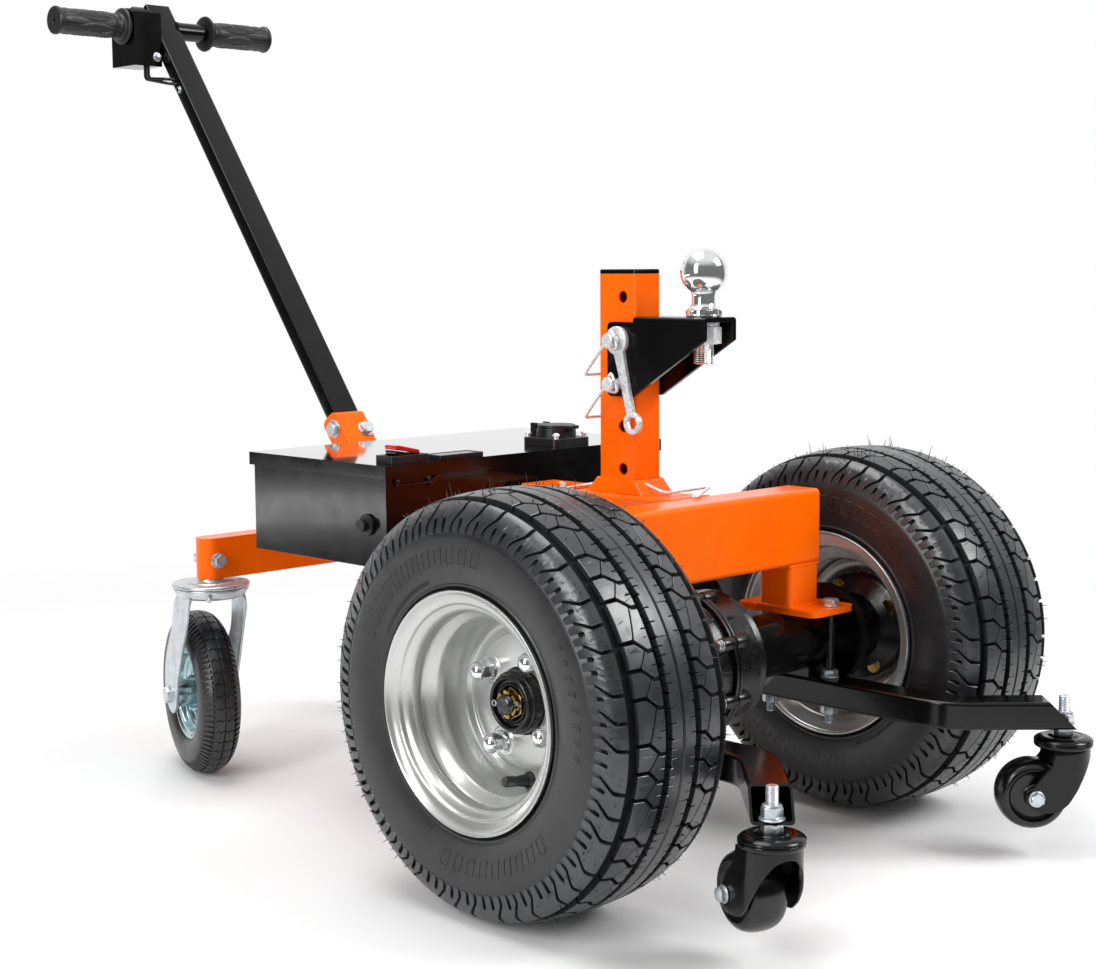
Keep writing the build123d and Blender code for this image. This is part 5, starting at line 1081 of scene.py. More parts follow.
def rear_place(name, word, side):
    """At its pivot, turned with the caster; the tyre and the rim are modelled about their axle."""
    place = shift(side * REAR_PIVOT[0], REAR_PIVOT[1]) @ Matrix.Rotation(math.radians(side * REAR_TURN), 4,
                                                                         "Z")
    if name in ("rear_tyre", "rear_rim"):
        place = place @ shift(0, REAR_TRAIL, REAR_WHEEL_RADIUS)
    return place


place_pairs([
    ("rear_fork", rear_fork(), "zinc_plate", zinc, "rear_caster_", "rear_fork_"),
    ("rear_axle", rear_axle(), "zinc_plate", zinc, "rear_caster_", None),
    ("rear_tyre", rear_tread(), "tyre_rubber", tyre_rubber, "rear_wheel_", "rear_tyre_"),
    ("rear_rim", rear_rim(), "zinc_plate", teal_zinc, "rear_wheel_", "rear_rim_"),
    ("rear_plate", rear_plate(), "zinc_plate", zinc, None, "rear_caster_plates"),
], rear_place)


# Front casters, modelled with the swivel axis upright at the origin and the roller trailing to +Y
FRONT_STEM = (245, -285)
FRONT_TURNS = {"left": 45.0, "right": -20.0}
FRONT_TRAIL = 34.0
ROLLER_Z = 69.0
HOOD_TOP = 120.4


def front_stem():
    """Threaded stem with its flanged lock nut inside the arm's end and a plain nut under it."""
    parts = [lathed("thread", threaded(156, 174, 6, 1.75), 32, closed=False),
             lathed("washer", [(143, 6.1), (143, 11.4), (143.5, 12), (144.5, 12), (145, 11.4), (145, 6.1)],
                    40), hexagonal(145, 155, 18),
             lathed("collar", [(154, 6), (154, 9.2), (155.2, 9.4), (156.4, 9), (157.2, 7.6), (157.4, 6)],
                    32), hexagonal(132.5, 140.5, 18),
             lathed("pivot", [(113, 0), (113, 8.4), (114, 9), (118, 9), (120, 6), (146, 6), (146, 0)], 32,
                    closed=False),]
    return soften(upright(joined("stem", *parts)), 30)


def front_cap():
    """Gloss pressed cap with a stepped middle and a rolled lip."""
    profile = [(125.5, 6.2), (132.4, 6.2), (132.5, 13), (131.6, 15.2), (130.6, 16.2), (130.5, 18.8),
               (131, 20.4), (130.8, 24), (129.6, 27.8), (128, 30), (126.6, 31), (125.6, 31), (125.5, 29.5)]
    return soften(upright(lathed("cap", profile, 96, radius=1.2)), 60)


# The hood's wall at places along the machine: its lowest points, and its highest
HOOD_LOW = [(-29, 114), (-26, 109.5), (-20, 97), (-9.7, 77.5), (0, 63), (9, 55), (20, 53), (30, 53.5),
            (38, 57), (45, 64)]
HOOD_HIGH = [(-29, HOOD_TOP), (15, HOOD_TOP), (17, 107), (24, 98), (32, 88), (40, 77), (45, 69)]
HOOD_ROWS = 9
HOOD_HALF = 28.4
HOOD_BACK = 45


def height_at(line, y):
    """Height of a line of (y, z) points at a place along the machine."""
    n = max(k for k in range(len(line) - 1) if line[k][0] <= max(y, line[0][0]))
    (a, p), (b, q) = line[n], line[n + 1]
    return p + (q - p) * min(1.0, max(0.0, (y - a) / (b - a)))


def raise_rows():
    """Raise the hood's plan to a wall, a millimetre for each row."""
    for _ in range(HOOD_ROWS):
        bpy.ops.mesh.extrude_region_move(TRANSFORM_OT_translate={"value": (0, 0, 1.0 * MM)})


def front_hood():
    """Drawn fork: a round wall whose arch opens at the front and whose two cheeks run back to the axle."""
    turns = [math.pi + math.pi * n / 28 for n in range(29)]
    plan = [(-HOOD_HALF, y) for y in range(HOOD_BACK, 0, -3)]
    plan += [(HOOD_HALF * math.cos(turn), HOOD_HALF * math.sin(turn)) for turn in turns]
    plan += [(HOOD_HALF, y) for y in range(3, HOOD_BACK + 1, 3)]
    hood = in_edit_mode(mesh_from_curve("hood", [plan], closed=False), raise_rows)
    for vertex in hood.data.vertices:
        row = round(vertex.co.z / MM)
        low, top = (height_at(line, vertex.co.y / MM) for line in (HOOD_LOW, HOOD_HIGH))
        vertex.co.z = (low + (top - low) * row / HOOD_ROWS) * MM
    wall = hood.modifiers.new("wall", "SOLIDIFY")
    wall.thickness = 2.4 * MM
    wall.offset = -1.0
    in_edit_mode(hood, face_outwards)
    bpy.ops.object.modifier_apply(modifier=wall.name)
    in_edit_mode(hood, face_outwards)
    bevelled(hood, 0.6, 2, 60)
    rim = [(119, 7), (119, 28), (119.6, 29.6), (120.6, 30.6), (122.6, 31), (124.6, 30.8), (125.2, 29.8),
           (125.2, 7)]
    return soften(joined("hood", hood, upright(lathed("lip", rim, 96, radius=0.9))), 45)


def front_axle():
    y, z = FRONT_TRAIL, ROLLER_Z
    parts = [bar_between("axle", (-30, y, z), (30, y, z), 4.9, 24),
             screw_head((-28.6, y, z), (-1, 0, 0), 13.0, 5.0, 8.6),
             screw_head((28.6, y, z), (1, 0, 0), 13.0, 5.4, 8.6),
             moved(lathed("tip", threaded(30, 39, 4.9, 1.4), 24, closed=False), 0, y, z)]
    return soften(joined("front_axle", *parts), 30)


def front_roller():
    """Barrel-shaped solid roller with a dished face and a hub on each side."""
    half = [(0, 38), (5, 37.8), (9, 37.2), (13, 36), (16.5, 34), (18.8, 31.4), (19.8, 29.4), (20, 27.8),
            (19.4, 26.8), (18.2, 26.6), (16.6, 25.4), (16, 22), (16.4, 12.5), (18, 10.6), (22.6, 10),
            (23.1, 9.4), (23.1, 5.1)]
    outline = half + [(-x, r) for x, r in half[::-1][:-1]]
    return moved(soften(lathed("roller", outline, 96, radius=0.8), 45), 0, FRONT_TRAIL, ROLLER_Z)


def front_place(name, word, side):
    """At its stem; what is under the arm is turned with the caster."""
    place = shift(side * FRONT_STEM[0], FRONT_STEM[1] + AXLE_Y)
    if name in ("front_stem", "front_cap"):
        return place
    return place @ Matrix.Rotation(math.radians(FRONT_TURNS[word]), 4, "Z")


place_pairs([
    ("front_stem", front_stem(), "zinc_plate", zinc, None, "front_caster_stems"),
    ("front_cap", front_cap(), "black_powder_coat", black_coat, None, "front_caster_caps"),
    ("front_hood", front_hood(), "black_powder_coat", black_coat, "front_caster_", "front_fork_"),
    ("front_axle", front_axle(), "zinc_plate", zinc, "front_caster_", None),
    ("front_roller", front_roller(), "roller_plastic", roller_nylon, "front_roller_", "front_wheel_"),
], front_place)


# Gear case: two drum halves bolted through eight bosses, modelled with its seam at X = 0
GEAR_SEAM_X = -45.0
BOSS_TURNS = [155 + 45 * n for n in range(8)]
BOSS_CIRCLE = 78.0
BOSS_LENGTH = 19.0
WEB_CIRCLE = 0.88 * BOSS_CIRCLE


def gear_half(name, profile, side, ribs):
    """One half of the drum with its bosses, the webs that tie them to it, and a rib between every two."""
    start, end = side * 0.6, side * BOSS_LENGTH
    near, knee, far = (side * place for place in ribs)
    parts = [lathed(name, profile, 128, radius=1.4, closed=False)]
    for turn in BOSS_TURNS:
        boss, web = on_circle(BOSS_CIRCLE, turn), on_circle(WEB_CIRCLE, turn)
        parts.append(bar_between("boss", (start, *boss), (end, *boss), 7.6, 28, 0.9))
        parts.append(bar_between("web", (start, *web), (end * 0.9, *web), 6.4, 16, 0.6))
        rib = plate_shape("rib", [(near, 60.0), (near, 77.0), (knee, 71.5), (far, 47.0), (far, 40.0)], 4.4,
                          0.6)
        turned_to(moved(rib, 2.2), (0, 1, 0), (1, 0, 0), (0, 0, 1))
        shaped(rib, Matrix.Rotation(math.radians(turn + 22.5 - 90), 4, "X"))
        parts.append(in_edit_mode(rib, face_outwards))
    return soften(moved(joined(name, *parts), GEAR_SEAM_X, AXLE_Y, AXLE_Z), 38)


def gear_cover():
    profile = [(0.5, 0), (0.5, 81), (1.2, 81.8), (4.6, 81.8), (5.4, 81), (5.4, 75.4), (12, 74.2), (44, 73),
               (49, 74.4), (51, 74.4), (52.6, 72.6), (53, 68), (54.6, 52), (56, 47.4), (60, 45), (70, 42),
               (73.6, 40), (74, 33), (74, 0)]
    return gear_half("gear_cover_drum", profile, 1, (8, 40, 58))


def gear_housing():
    profile = [(-0.5, 0), (-0.5, 81), (-1.2, 81.8), (-4.6, 81.8), (-5.4, 81), (-5.4, 75), (-26, 72.4),
               (-38, 66), (-43, 58), (-47, 46), (-56, 41), (-58, 38), (-58, 0)]
    return gear_half("gear_housing_drum", profile, -1, (8, 26, 46))


def gear_screws():
    """Flanged screws through the bosses, their heads on the right-hand side."""
    parts = []
    for turn in BOSS_TURNS:
        y, z = on_circle(BOSS_CIRCLE, turn)
        parts.append(screw_head((GEAR_SEAM_X - BOSS_LENGTH, y + AXLE_Y, z + AXLE_Z), (-1, 0, 0), 10.0, 5.2,
                                6.6))
        tip = lathed("tip", threaded(18, 23, 3, 1.2), 20, closed=False)
        parts.append(moved(tip, GEAR_SEAM_X, y + AXLE_Y, z + AXLE_Z))
    return soften(joined("gear_screws", *parts), 30)


def reducer():
    """Flat case that carries the motor beside the drum, and the bridge between the two."""
    profile = [(24, 0), (24, 52), (25.5, 54.5), (28, 55), (45, 55), (47, 54.4), (48, 53), (48, 0)]
    drum = moved(lathed("reducer", profile, 96, radius=0.8, closed=False), GEAR_SEAM_X, 124.0 + AXLE_Y,
                 236.0)
    outline = rounded([(36 + AXLE_Y, 176), (36 + AXLE_Y, 268), (120 + AXLE_Y, 289), (120 + AXLE_Y, 184)],
                      8.0, 3, closed=True)
    bridge = moved(plate_shape("bridge", outline, 22.0, 1.6), GEAR_SEAM_X + 47.0)
    return soften(joined("reducer", drum, bridge), 38)


finish_piece(gear_cover(), "chassis", "cast_housing", cast_black, "gear_cover")
finish_piece(reducer(), "chassis", "cast_housing", cast_black)
finish_piece(gear_housing(), "chassis", "cast_housing", cast_black, "gear_housing")
finish_piece(gear_screws(), "chassis", "zinc_plate", zinc, "housing_bolts")


# Tow ball, its nut, the locking pins with their bails, and the spanner
PIN_Y = 108.0 + AXLE_Y
PIN_ZS = (549.5, 502.5)
MAST_BACK = 88.5 + 56.0 + AXLE_Y
BALL_PLACE = (0.0, 9.0 + AXLE_Y)
BAIL_RIGHT, BAIL_LEFT, BAIL_WIRE = -39.0, 35.0, 1.7


def tow_ball():
    """Forged ball with a flat on top, a waisted neck, a flange with flats and a threaded shank."""
    profile = threaded(526, 560, 11, 2.2)[:-3] + [(560, 10.6), (562, 11), (575.5, 11), (575.5, 18),
                                                  (576.2, 19), (577.6, 19.4), (578.2, 17.6), (584.2, 17.4),
                                                  (585.6, 16.2), (587.4, 14.2), (590.5, 13.1), (598, 12.9),
                                                  (600.6, 13.4)]
    for n in range(30):
        turn = math.radians(-57.0 + n * 4.42)
        profile.append((623.4 + 25.4 * math.sin(turn), 25.4 * math.cos(turn)))
    profile += [(647.1, 8.7), (647.3, 7.9), (647.3, 0)]
    ball = lathed("tow_ball", profile, 96, closed=False)
    flange = hexagonal(578, 584.4, 34)
    whole = upright(joined("tow_ball", ball, flange))
    return soften(moved(whole, *BALL_PLACE), 34)


def ball_nut():
    """Nut under the bracket, with its washer and its turned face."""
    washer = lathed("washer", [(566.6, 11.2), (566.6, 16), (567.2, 16.6), (569.8, 16.6), (570.4, 16),
                               (570.4, 11.2)], 64)
    nut = hexagonal(547.5, 566.4, 33)
    face = lathed("face", [(546.9, 11.2), (546.9, 14.6), (547.8, 15.4), (549, 15.4), (549, 11.2)], 48)
    whole = shaped(upright(joined("nut", washer, nut, face)), Matrix.Rotation(math.radians(14), 4, "Z"))
    return soften(moved(whole, *BALL_PLACE), 30)


def locking_pins():
    """Two pins with a grooved head on the right-hand side and a chamfered tip."""
    profile = [(-46, 0), (-46, 6.8), (-45.2, 8), (-44.6, 8), (-44.4, 7.4), (-43.9, 7.4), (-43.7, 8),
               (-42.6, 8), (-42, 7.4), (-41.9, 6), (-30, 6), (-29.6, 5.6), (-29, 5.6), (-28.6, 6),
               (38.4, 6), (40, 4.6), (40, 0)]
    parts = [moved(lathed("pin", profile, 14, closed=False), 0, PIN_Y, z) for z in PIN_ZS]
    return soften(joined("locking_pins", *parts), 32)


def pin_bail(z):
    """Sprung wire round the mast's back, with a three-cornered eye on each end of its pin."""
    y, back = PIN_Y, MAST_BACK + 2.2
    low = z - 38.0
    wires = []
    for x, inward in ((BAIL_RIGHT, 1), (BAIL_LEFT, -1)):
        eye = [(x, y + 8.6, z - 3.2), (x, y + 9.4, z - 1.6), (x, y + 1.2, z + 11.4),
               (x, y - 1.2, z + 11.4), (x, y - 9.4, z - 5.0), (x, y - 8.2, z - 8.4),
               (x + inward * 3.0, y + 6.0, z - 8.4), (x + inward * 3.4, y + 8.8, z - 6.0)]
        wires.append(bent_wire("eye", eye, BAIL_WIRE))
    arm = [(y + 8.6, z - 3.2), (back - 2.5, low + 5.0), (back, low)]
    bow = [(BAIL_RIGHT, *spot) for spot in arm]
    bow += [(BAIL_RIGHT + 4.0, back, low), (BAIL_LEFT - 4.0, back, low)]
    bow += [(BAIL_LEFT, *spot) for spot in arm[::-1]]
    wires.append(bent_wire("bow", bow, BAIL_WIRE))
    return soften(joined("bail", *wires), 50)


def ring_outline(radius, half_neck, cy, up):
    """Outline of a ring's outside, open where a neck of a half width leaves it."""
    start = math.asin(half_neck / radius)
    turns = [start + (2 * math.pi - 2 * start) * n / 32 for n in range(33)]
    return [(radius * math.sin(turn) * up, cy - radius * math.cos(turn) * up) for turn in turns]


def spanner():
    """Forged spanner: a ring on the pin and a hexagon ring at its tail, joined by a waisted bar."""
    tail = -92.0
    outline = ring_outline(15.4, 7, 0, 1) + [(-6, -34), (-5.2, -64)]
    outline += ring_outline(12.2, 5.4, tail, -1) + [(5.2, -64), (6, -34)]
    circle = [on_circle(6.3, 360 * n / 32) for n in range(32)]
    six = [on_circle(7.5, 60 * n + math.degrees(0.4)) for n in range(6)]
    parts = [mesh_from_curve("spanner", [outline, circle, [(x, tail + y) for x, y in six]], 2.0, 0.6)]
    for inner, outer, y in ((6.4, 14.2, 0), (8.2, 11.4, tail)):
        edge = [(-2.9, inner), (-2.9, outer - 0.8), (-2.2, outer), (2.2, outer), (2.9, outer - 0.8),
                (2.9, inner)]
        parts.append(moved(upright(lathed("boss", edge, 48, radius=0.4)), 0, y, 0))
    lean = math.asin(11.8 / (PIN_ZS[0] - PIN_ZS[1]))
    whole = shaped(joined("spanner", *parts), Matrix.Rotation(-lean, 4, "Z"))
    return soften(turned_to(whole, (0, 1, 0), (0, 0, 1), (1, 0, 0), (-28.9, PIN_Y, PIN_ZS[0])), 32)


finish_piece(tow_ball(), "chassis", "chrome_plate", chrome, "tow_ball")
finish_piece(ball_nut(), "chassis", "chrome_plate", satin_nickel, "ball_nut")
finish_piece(locking_pins(), "chassis", "zinc_plate", satin_nickel, "lock_pins")
for pin_z, word in zip(PIN_ZS, ("upper", "lower")):
    wire = pin_bail(pin_z)
    wire.name = "bail_wire_" + word
    finish_piece(wire, word + "_bail", "zinc_plate", satin_nickel, "bail_" + word)
finish_piece(spanner(), "hung_spanner", "chrome_plate", satin_nickel, "spanner")


# Handle grips, modelled along X with the open end at 0 and the closed end at 108
PANEL_FROM, PANEL_TO = 21.0, 98.0
GRIP_PANELS = 6
PANEL_HEIGHT, PANEL_DEPTH = 0.95, 0.75


def leaf(x):
    """Half width, in degrees, of the leaf-shaped panels between the flutes at a place along the grip."""
    t = min(1.0, max(0.0, (x - 22.0) / 66.0))
    return 4.0 + 15.0 * math.sin(math.pi * min(1.0, t * 1.15)) ** 0.8 if 0 < t < 0.87 else 4.0 * (1 - t)


def hand_grip():
    """Moulded grip: a flange, a ribbed neck, six leaf-shaped panels with raised borders and a rolled end."""
    profile = [(0, 12.9), (0, 22.6), (1, 24.4), (2.6, 25), (4.2, 24.4), (5.4, 22.4), (6, 18.6), (8, 16.6),
               (10, 16.4), (10.8, 17.2), (12.4, 17.2), (13.2, 16.2), (14.6, 16.2), (15.4, 17), (17, 17),
               (18, 16.4), (20, 16.8)]
    profile += [(22.0 + 1.65 * n, 17.2) for n in range(41)]
    profile += [(90, 17.2), (94, 17.2), (100, 17.2), (102, 17.8), (103, 18.8), (104.4, 19), (106.6, 19),
                (108, 17.6), (108, 4.2), (106.8, 3.2), (102, 3), (102, 0)]
    item = lathed("grip", profile, 144, closed=False)
    sector = 360.0 / GRIP_PANELS
    for vertex in item.data.vertices:
        x, y, z = (c / MM for c in vertex.co)
        r = math.hypot(y, z)
        if PANEL_FROM < x < PANEL_TO and r > 16.0:
            turn = math.degrees(math.atan2(z, y)) % sector - sector / 2
            half = leaf(x)
            border = PANEL_HEIGHT * math.exp(-((abs(turn) - half) / 2.4) ** 2)
            hollow = PANEL_DEPTH if abs(turn) < half else 0.15 * math.cos(math.radians(turn * 9))
            fade = min(1.0, (x - PANEL_FROM) / 5.0, (PANEL_TO - x) / 6.0)
            scale = (r + fade * (border - hollow)) / r
            vertex.co = (x * MM, y * scale * MM, z * scale * MM)
    return soften(item, 40)


# Handle pole: its foot, its lean and the length from there to the cross bar
LEAN = math.radians(36.6)
POLE_LENGTH = 674.0
POLE_FOOT = Vector((0.0, 616.0 + AXLE_Y, 424.0))
UP_POLE = Vector((0.0, math.sin(LEAN), math.cos(LEAN)))
OFF_POLE = Vector((0.0, -math.cos(LEAN), math.sin(LEAN)))
BAR_Y = 616.0 + POLE_LENGTH * math.sin(LEAN) + AXLE_Y
BAR_Z = 424.0 + POLE_LENGTH * math.cos(LEAN)
GRIP_FROM = 66.0
grip = hand_grip()
for word, side, body in (("fixed_grip", 1, "chassis"), ("throttle_grip", -1, "throttle")):
    turned = Matrix.Identity(4) if side > 0 else Matrix.Rotation(math.pi, 4, "Z")
    moulding = copied(grip, word + "_moulding", shift(side * GRIP_FROM, BAR_Y, BAR_Z) @ turned)
    finish_piece(moulding, body, "grip_rubber", grip_pvc, word)
bpy.data.objects.remove(grip)


# CAD nodes whose folded and cut edges are broken by a small radius in millimetres
EASED = {"battery_box": 1.2, "box_lid": 0.8, "control_box": 0.9, "ball_bracket": 1.3,
         "handle_bracket": 1.0, "mast_cap": 0.9, "lid_fittings": 0.6, "beam_legs": 0.9, "socket_base": 0.6,
         "socket_cap": 0.6, "breaker_button": 0.6, "caster_arms": 0.7, "mast_foot": 1.4, "rear_bar": 0.8,
         "cross_beam": 0.7, "mast": 0.5}
ON_LID = {"box_lid": "lid", "lid_fittings": "lid", "socket_base": "lid", "socket_cap": "socket_flap"}
for row in frame["record"]["subparts"]:
    node, slot_name = row["node"], row["material_slot"]
    if node in EASED:
        easy = finish_piece(eased(node, EASED[node]), ON_LID.get(node, "chassis"), slot_name,
                            finishes[slot_name], node)
        if node == "box_lid":
            easy.data.materials.append(lid_coat)
            for face in easy.data.polygons:
                face.material_index = 1 if face.normal.z > 0.9 else 0


# Handle: the pole with its welded cross bar, and what is fastened to the control box
CONTROL_TOP = BAR_Z + 19.0
SWITCH_X, SWITCH_Y = -42.0, BAR_Y + 8.0
SWITCH_HALF = 11.4


def on_pole(distance, forward=0.0, across=0.0):
    """A place at a distance up the pole's middle line, and off it."""
    return POLE_FOOT + UP_POLE * distance + OFF_POLE * forward + Vector((across, 0, 0))


def handle_pole():
    """Rectangular tube, 40 by 20 and 738 long, its ends closed."""
    pole = mesh_from_curve("pole", [soft_rectangle((-20, 20), (-10, 10), 3.4)], 738.0 / 2 - 0.8, 0.8)
    turned_to(pole, (1, 0, 0), -OFF_POLE, UP_POLE, on_pole(343.0))
    return soften(in_edit_mode(pole, face_outwards), 40)


def cross_bar():
    """The cross bar's two lengths, each welded to a side of the pole."""
    profile = [(17, 0), (17, 13.6), (20.4, 13.6), (21.4, 12.7), (168, 12.7), (168, 0)]
    lengths = [lathed("length", [(side * x, r) for x, r in profile], 64, closed=False) for side in (1, -1)]
    return soften(moved(joined("cross_bar", *lengths), 0, BAR_Y, BAR_Z), 40)


def slab(x, y, z, corner, edge):
    """A plate with rounded corners from its (low, high) pairs."""
    plate = mesh_from_curve("slab", [soft_rectangle(x, y, corner)], (z[1] - z[0]) / 2 - edge, edge)
    return moved(plate, 0, 0, (z[0] + z[1]) / 2)


def switch_surround():
    """Three stepped frames of four strips each round the direction switch."""
    inner = (-SWITCH_HALF, SWITCH_HALF)
    parts = []
    for half, low, high in ((17.5, 0, 2.6), (15.6, 2.6, 3.4), (16.6, 3.4, 6)):
        whole, near, far = (-half, half), (-half, -SWITCH_HALF), (SWITCH_HALF, half)
        for x, y in ((whole, near), (whole, far), (near, inner), (far, inner)):
            parts.append(slab([SWITCH_X + c for c in x], [SWITCH_Y + c for c in y],
                              (CONTROL_TOP + low, CONTROL_TOP + high), 0.6, 0.3))
    return soften(joined("switch_surround", *parts), 30)


def direction_lever():
    """Rocker with two raised ends, tipped on its middle."""
    outline = rounded([(-10, 1.5), (10, 1.5), (10, 9.8), (0, 6.6), (-10, 9.8)], 1.6, 3, closed=True)
    lever = plate_shape("lever", [(SWITCH_Y + a, CONTROL_TOP + b) for a, b in outline], 20.0, 0.9)
    return soften(moved(lever, SWITCH_X + 10.0), 35)


def control_fasteners():
    """Screw in the control box's front and the one that holds the cable clip on the pole."""
    parts = [screw_head((-28.5, BAR_Y - 24.0, BAR_Z - 41.0), (0, -1, 0), 8.0, 4.0, 6.4),
             screw_head(on_pole(564, 0, -20), (-1, 0, 0), 6.0, 2.4, 5.0)]
    return soften(joined("control_fasteners", *parts), 30)


finish_piece(handle_pole(), "chassis", "black_powder_coat", black_coat, "handle_pole")
finish_piece(cross_bar(), "chassis", "black_powder_coat", black_coat, "t_bar")
finish_piece(switch_surround(), "chassis", "black_plastic", abs_black)
finish_piece(direction_lever(), "direction_rocker", "black_plastic", abs_black, "direction_switch")
finish_piece(control_fasteners(), "chassis", "zinc_plate", zinc)


# Bolts of the frame, with dark shanks where they cross the open space under the plates
PLATE_TOP, PLATE_LOW, ARM_TOP, ARM_LOW = 251.5, 244.5, 170.5, 140.5
TIP_LENGTH = 22.0
REAR_BOLT_Z = 277.0


def frame_bolts():
    """The heads, nuts and tips of the frame's bolts, and the shanks of the four that clamp the arms."""
    heads, shanks = [], []
    for x in (-157, 157):
        for y in (-42.0 + AXLE_Y, 42.0 + AXLE_Y):
            for z, aim, height in ((PLATE_TOP, 1, 6.4), (ARM_TOP, 1, 7.4), (ARM_LOW, -1, 9.0)):
                heads.append(screw_head((x, y, z), (0, 0, aim), 17.0, height, 10.6))
            tip = upright(lathed("tip", threaded(0.0, TIP_LENGTH, 5.0, 1.5), 28, closed=False))
            heads.append(moved(tip, x, y, ARM_LOW - TIP_LENGTH))
            shanks.append(bar_between("shank", (x, y, ARM_TOP - 1.0), (x, y, PLATE_LOW + 1.0), 5.0, 20))
    for x in (-REAR_PIVOT[0], REAR_PIVOT[0]):
        y, z = REAR_PIVOT[1], REAR_BOLT_Z
        heads += [screw_head((x, y - 16.0, z), (0, -1, 0), 15.0, 6.4, 9.6),
                  screw_head((x, y + 16.0, z), (0, 1, 0), 15.0, 7.6, 9.6),
                  bar_between("tip", (x, y + 20.0, z), (x, y + 30.0, z), 4.9, 20, 0.8)]
    y, z = POLE_FOOT.y, POLE_FOOT.z
    heads += [screw_head((-23.0, y, z), (-1, 0, 0), 16.0, 5.4, 12.0),
              screw_head((23.0, y, z), (1, 0, 0), 16.0, 7.0, 12.0),
              bar_between("tip", (24.0, y, z), (37.0, y, z), 4.9, 20, 0.8),
              screw_head(on_pole(-12, 13.5, 13), OFF_POLE, 16.0, 5.4, 10.6)]
    return soften(joined("frame_bolt_heads", *heads), 30), soften(joined("clamp_shanks", *shanks), 40)


bolt_heads, clamp_shanks = frame_bolts()
finish_piece(bolt_heads, "chassis", "zinc_plate", zinc, "frame_bolts")
finish_piece(clamp_shanks, "chassis", "hub_black", cast_black)


# Battery box: hasp, charge socket screws, stepped rocker and the gauge's window
LID_TOP = 415.5
BOX_FRONT = 276.0 + AXLE_Y
HASP_X, HASP_Z = -181.0, 396.5
SOCKET_X, SOCKET_Y = 84.0, 318.0 + AXLE_Y
ROCKER_X, ROCKER_Y, ROCKER_Z = -180.0, 293.0 + AXLE_Y, 426.5


def box_hasp():
    """Flat oval loop on two rivets, lying on the front of the box, with its catch."""
    ovals = [soft_rectangle((HASP_X - x, HASP_X + x), (HASP_Z - z, HASP_Z + z), 3.4, 5) for x,
             z in ((26, 4.6), (23, 2.2))]
    hook = rounded([(-160, 392), (-146, 401), (-141, 407), (-138, 405), (-144, 396), (-156, 388)], 1.6, 3,
                   closed=True)
    parts = []
    for name, outlines, half, edge, out in (("loop", ovals, 0.8, 0.5, 1.6),
                                            ("catch", [hook], 1.2, 0.4, 2.0)):
        item = mesh_from_curve(name, outlines, half, edge)
        turned_to(item, (1, 0, 0), (0, 0, 1), (0, -1, 0), (0, BOX_FRONT - out, 0))
        parts.append(in_edit_mode(item, face_outwards))
    for x in (-22, 22):
        rivet = lathed("rivet", [(0, 0), (0, 3.4), (1.4, 3.2), (2.4, 2), (2.8, 0)], 20, closed=False)
        parts.append(shaped(rivet, shift(HASP_X + x, BOX_FRONT - 0.8, HASP_Z)
                            @ Matrix.Rotation(-math.pi / 2, 4, "Z")))
    return soften(joined("box_hasp", *parts), 40)


def socket_screws():
    """Four pan-head screws on spacers at the corners of the charge socket's plate."""
    profile = [(9, 0), (9, 3), (12.2, 3), (12.4, 4.2), (13.6, 4.4), (15.4, 3.6), (16.2, 2), (16.4, 0)]
    parts = []
    for dx in (-24, 24):
        for dy in (-24, 24):
            parts.append(moved(upright(lathed("screw", profile, 24, closed=False)), SOCKET_X + dx, SOCKET_Y
                               + dy, LID_TOP))
    return soften(joined("socket_screws", *parts), 30)


def rocker_layer(name, outline, half):
    """One layer of the main rocker, its top sloping down to the left."""
    outline = rounded([(ROCKER_X + a, ROCKER_Z + b) for a, b in outline], 1.2, 3, closed=True)
    layer = plate_shape(name, outline, 2 * half, 0.8)
    turned_to(layer, (0, 1, 0), (1, 0, 0), (0, 0, 1), (0, ROCKER_Y + half, 0))
    return soften(in_edit_mode(layer, face_outwards), 35)


def gauge_window():
    """Polished window over the charge gauge."""
    window = slab((-133, -75), (283.0 + AXLE_Y, 303.0 + AXLE_Y), (LID_TOP + 3.9, LID_TOP + 4.6), 1.5, 0.15)
    window.name = "gauge_window"
    return soften(window, 30)


red_layer = [(-17.5, 4.6), (-17.5, 8.8), (-13, 9.4), (17, 2.6), (17.5, 0.6), (17, -1.6)]
black_layer = [(-16.6, -4), (-17.2, 3.6), (17, -2.6), (16.4, -6.4), (0, -7.6)]
window = gauge_window()
finish_piece(box_hasp(), "chassis", "black_plastic", gloss_abs)
finish_piece(socket_screws(), "lid", "zinc_plate", satin_nickel)
finish_piece(rocker_layer("rocker_red", red_layer, 9.8), "rocker", "red_plastic", red_rocker, "main_rocker")
finish_piece(rocker_layer("rocker_black", black_layer, 9.4), "rocker", "red_plastic", gloss_abs)
finish_piece(window, "lid", "black_plastic", gloss_abs)


# Weld beads and the wire bows at the mast's foot
def weld(points, radius=2.4):
    """A closed weld bead along a line, its ripples a few millimetres apart."""
    corners = [Vector(p) for p in points + points[:1]]
    spots = []
    for a, b in zip(corners, corners[1:]):
        steps = max(1, int((b - a).length / 3.2))
        spots += [a.lerp(b, n / steps) for n in range(steps)]
    bead = bent_wire("bead", spots + [corners[-1]], radius, soft=False)
    for n, vertex in enumerate(bead.data.vertices):
        vertex.co += vertex.normal * (0.35 * MM * math.sin(n // 8 * 2.4))
    return bead


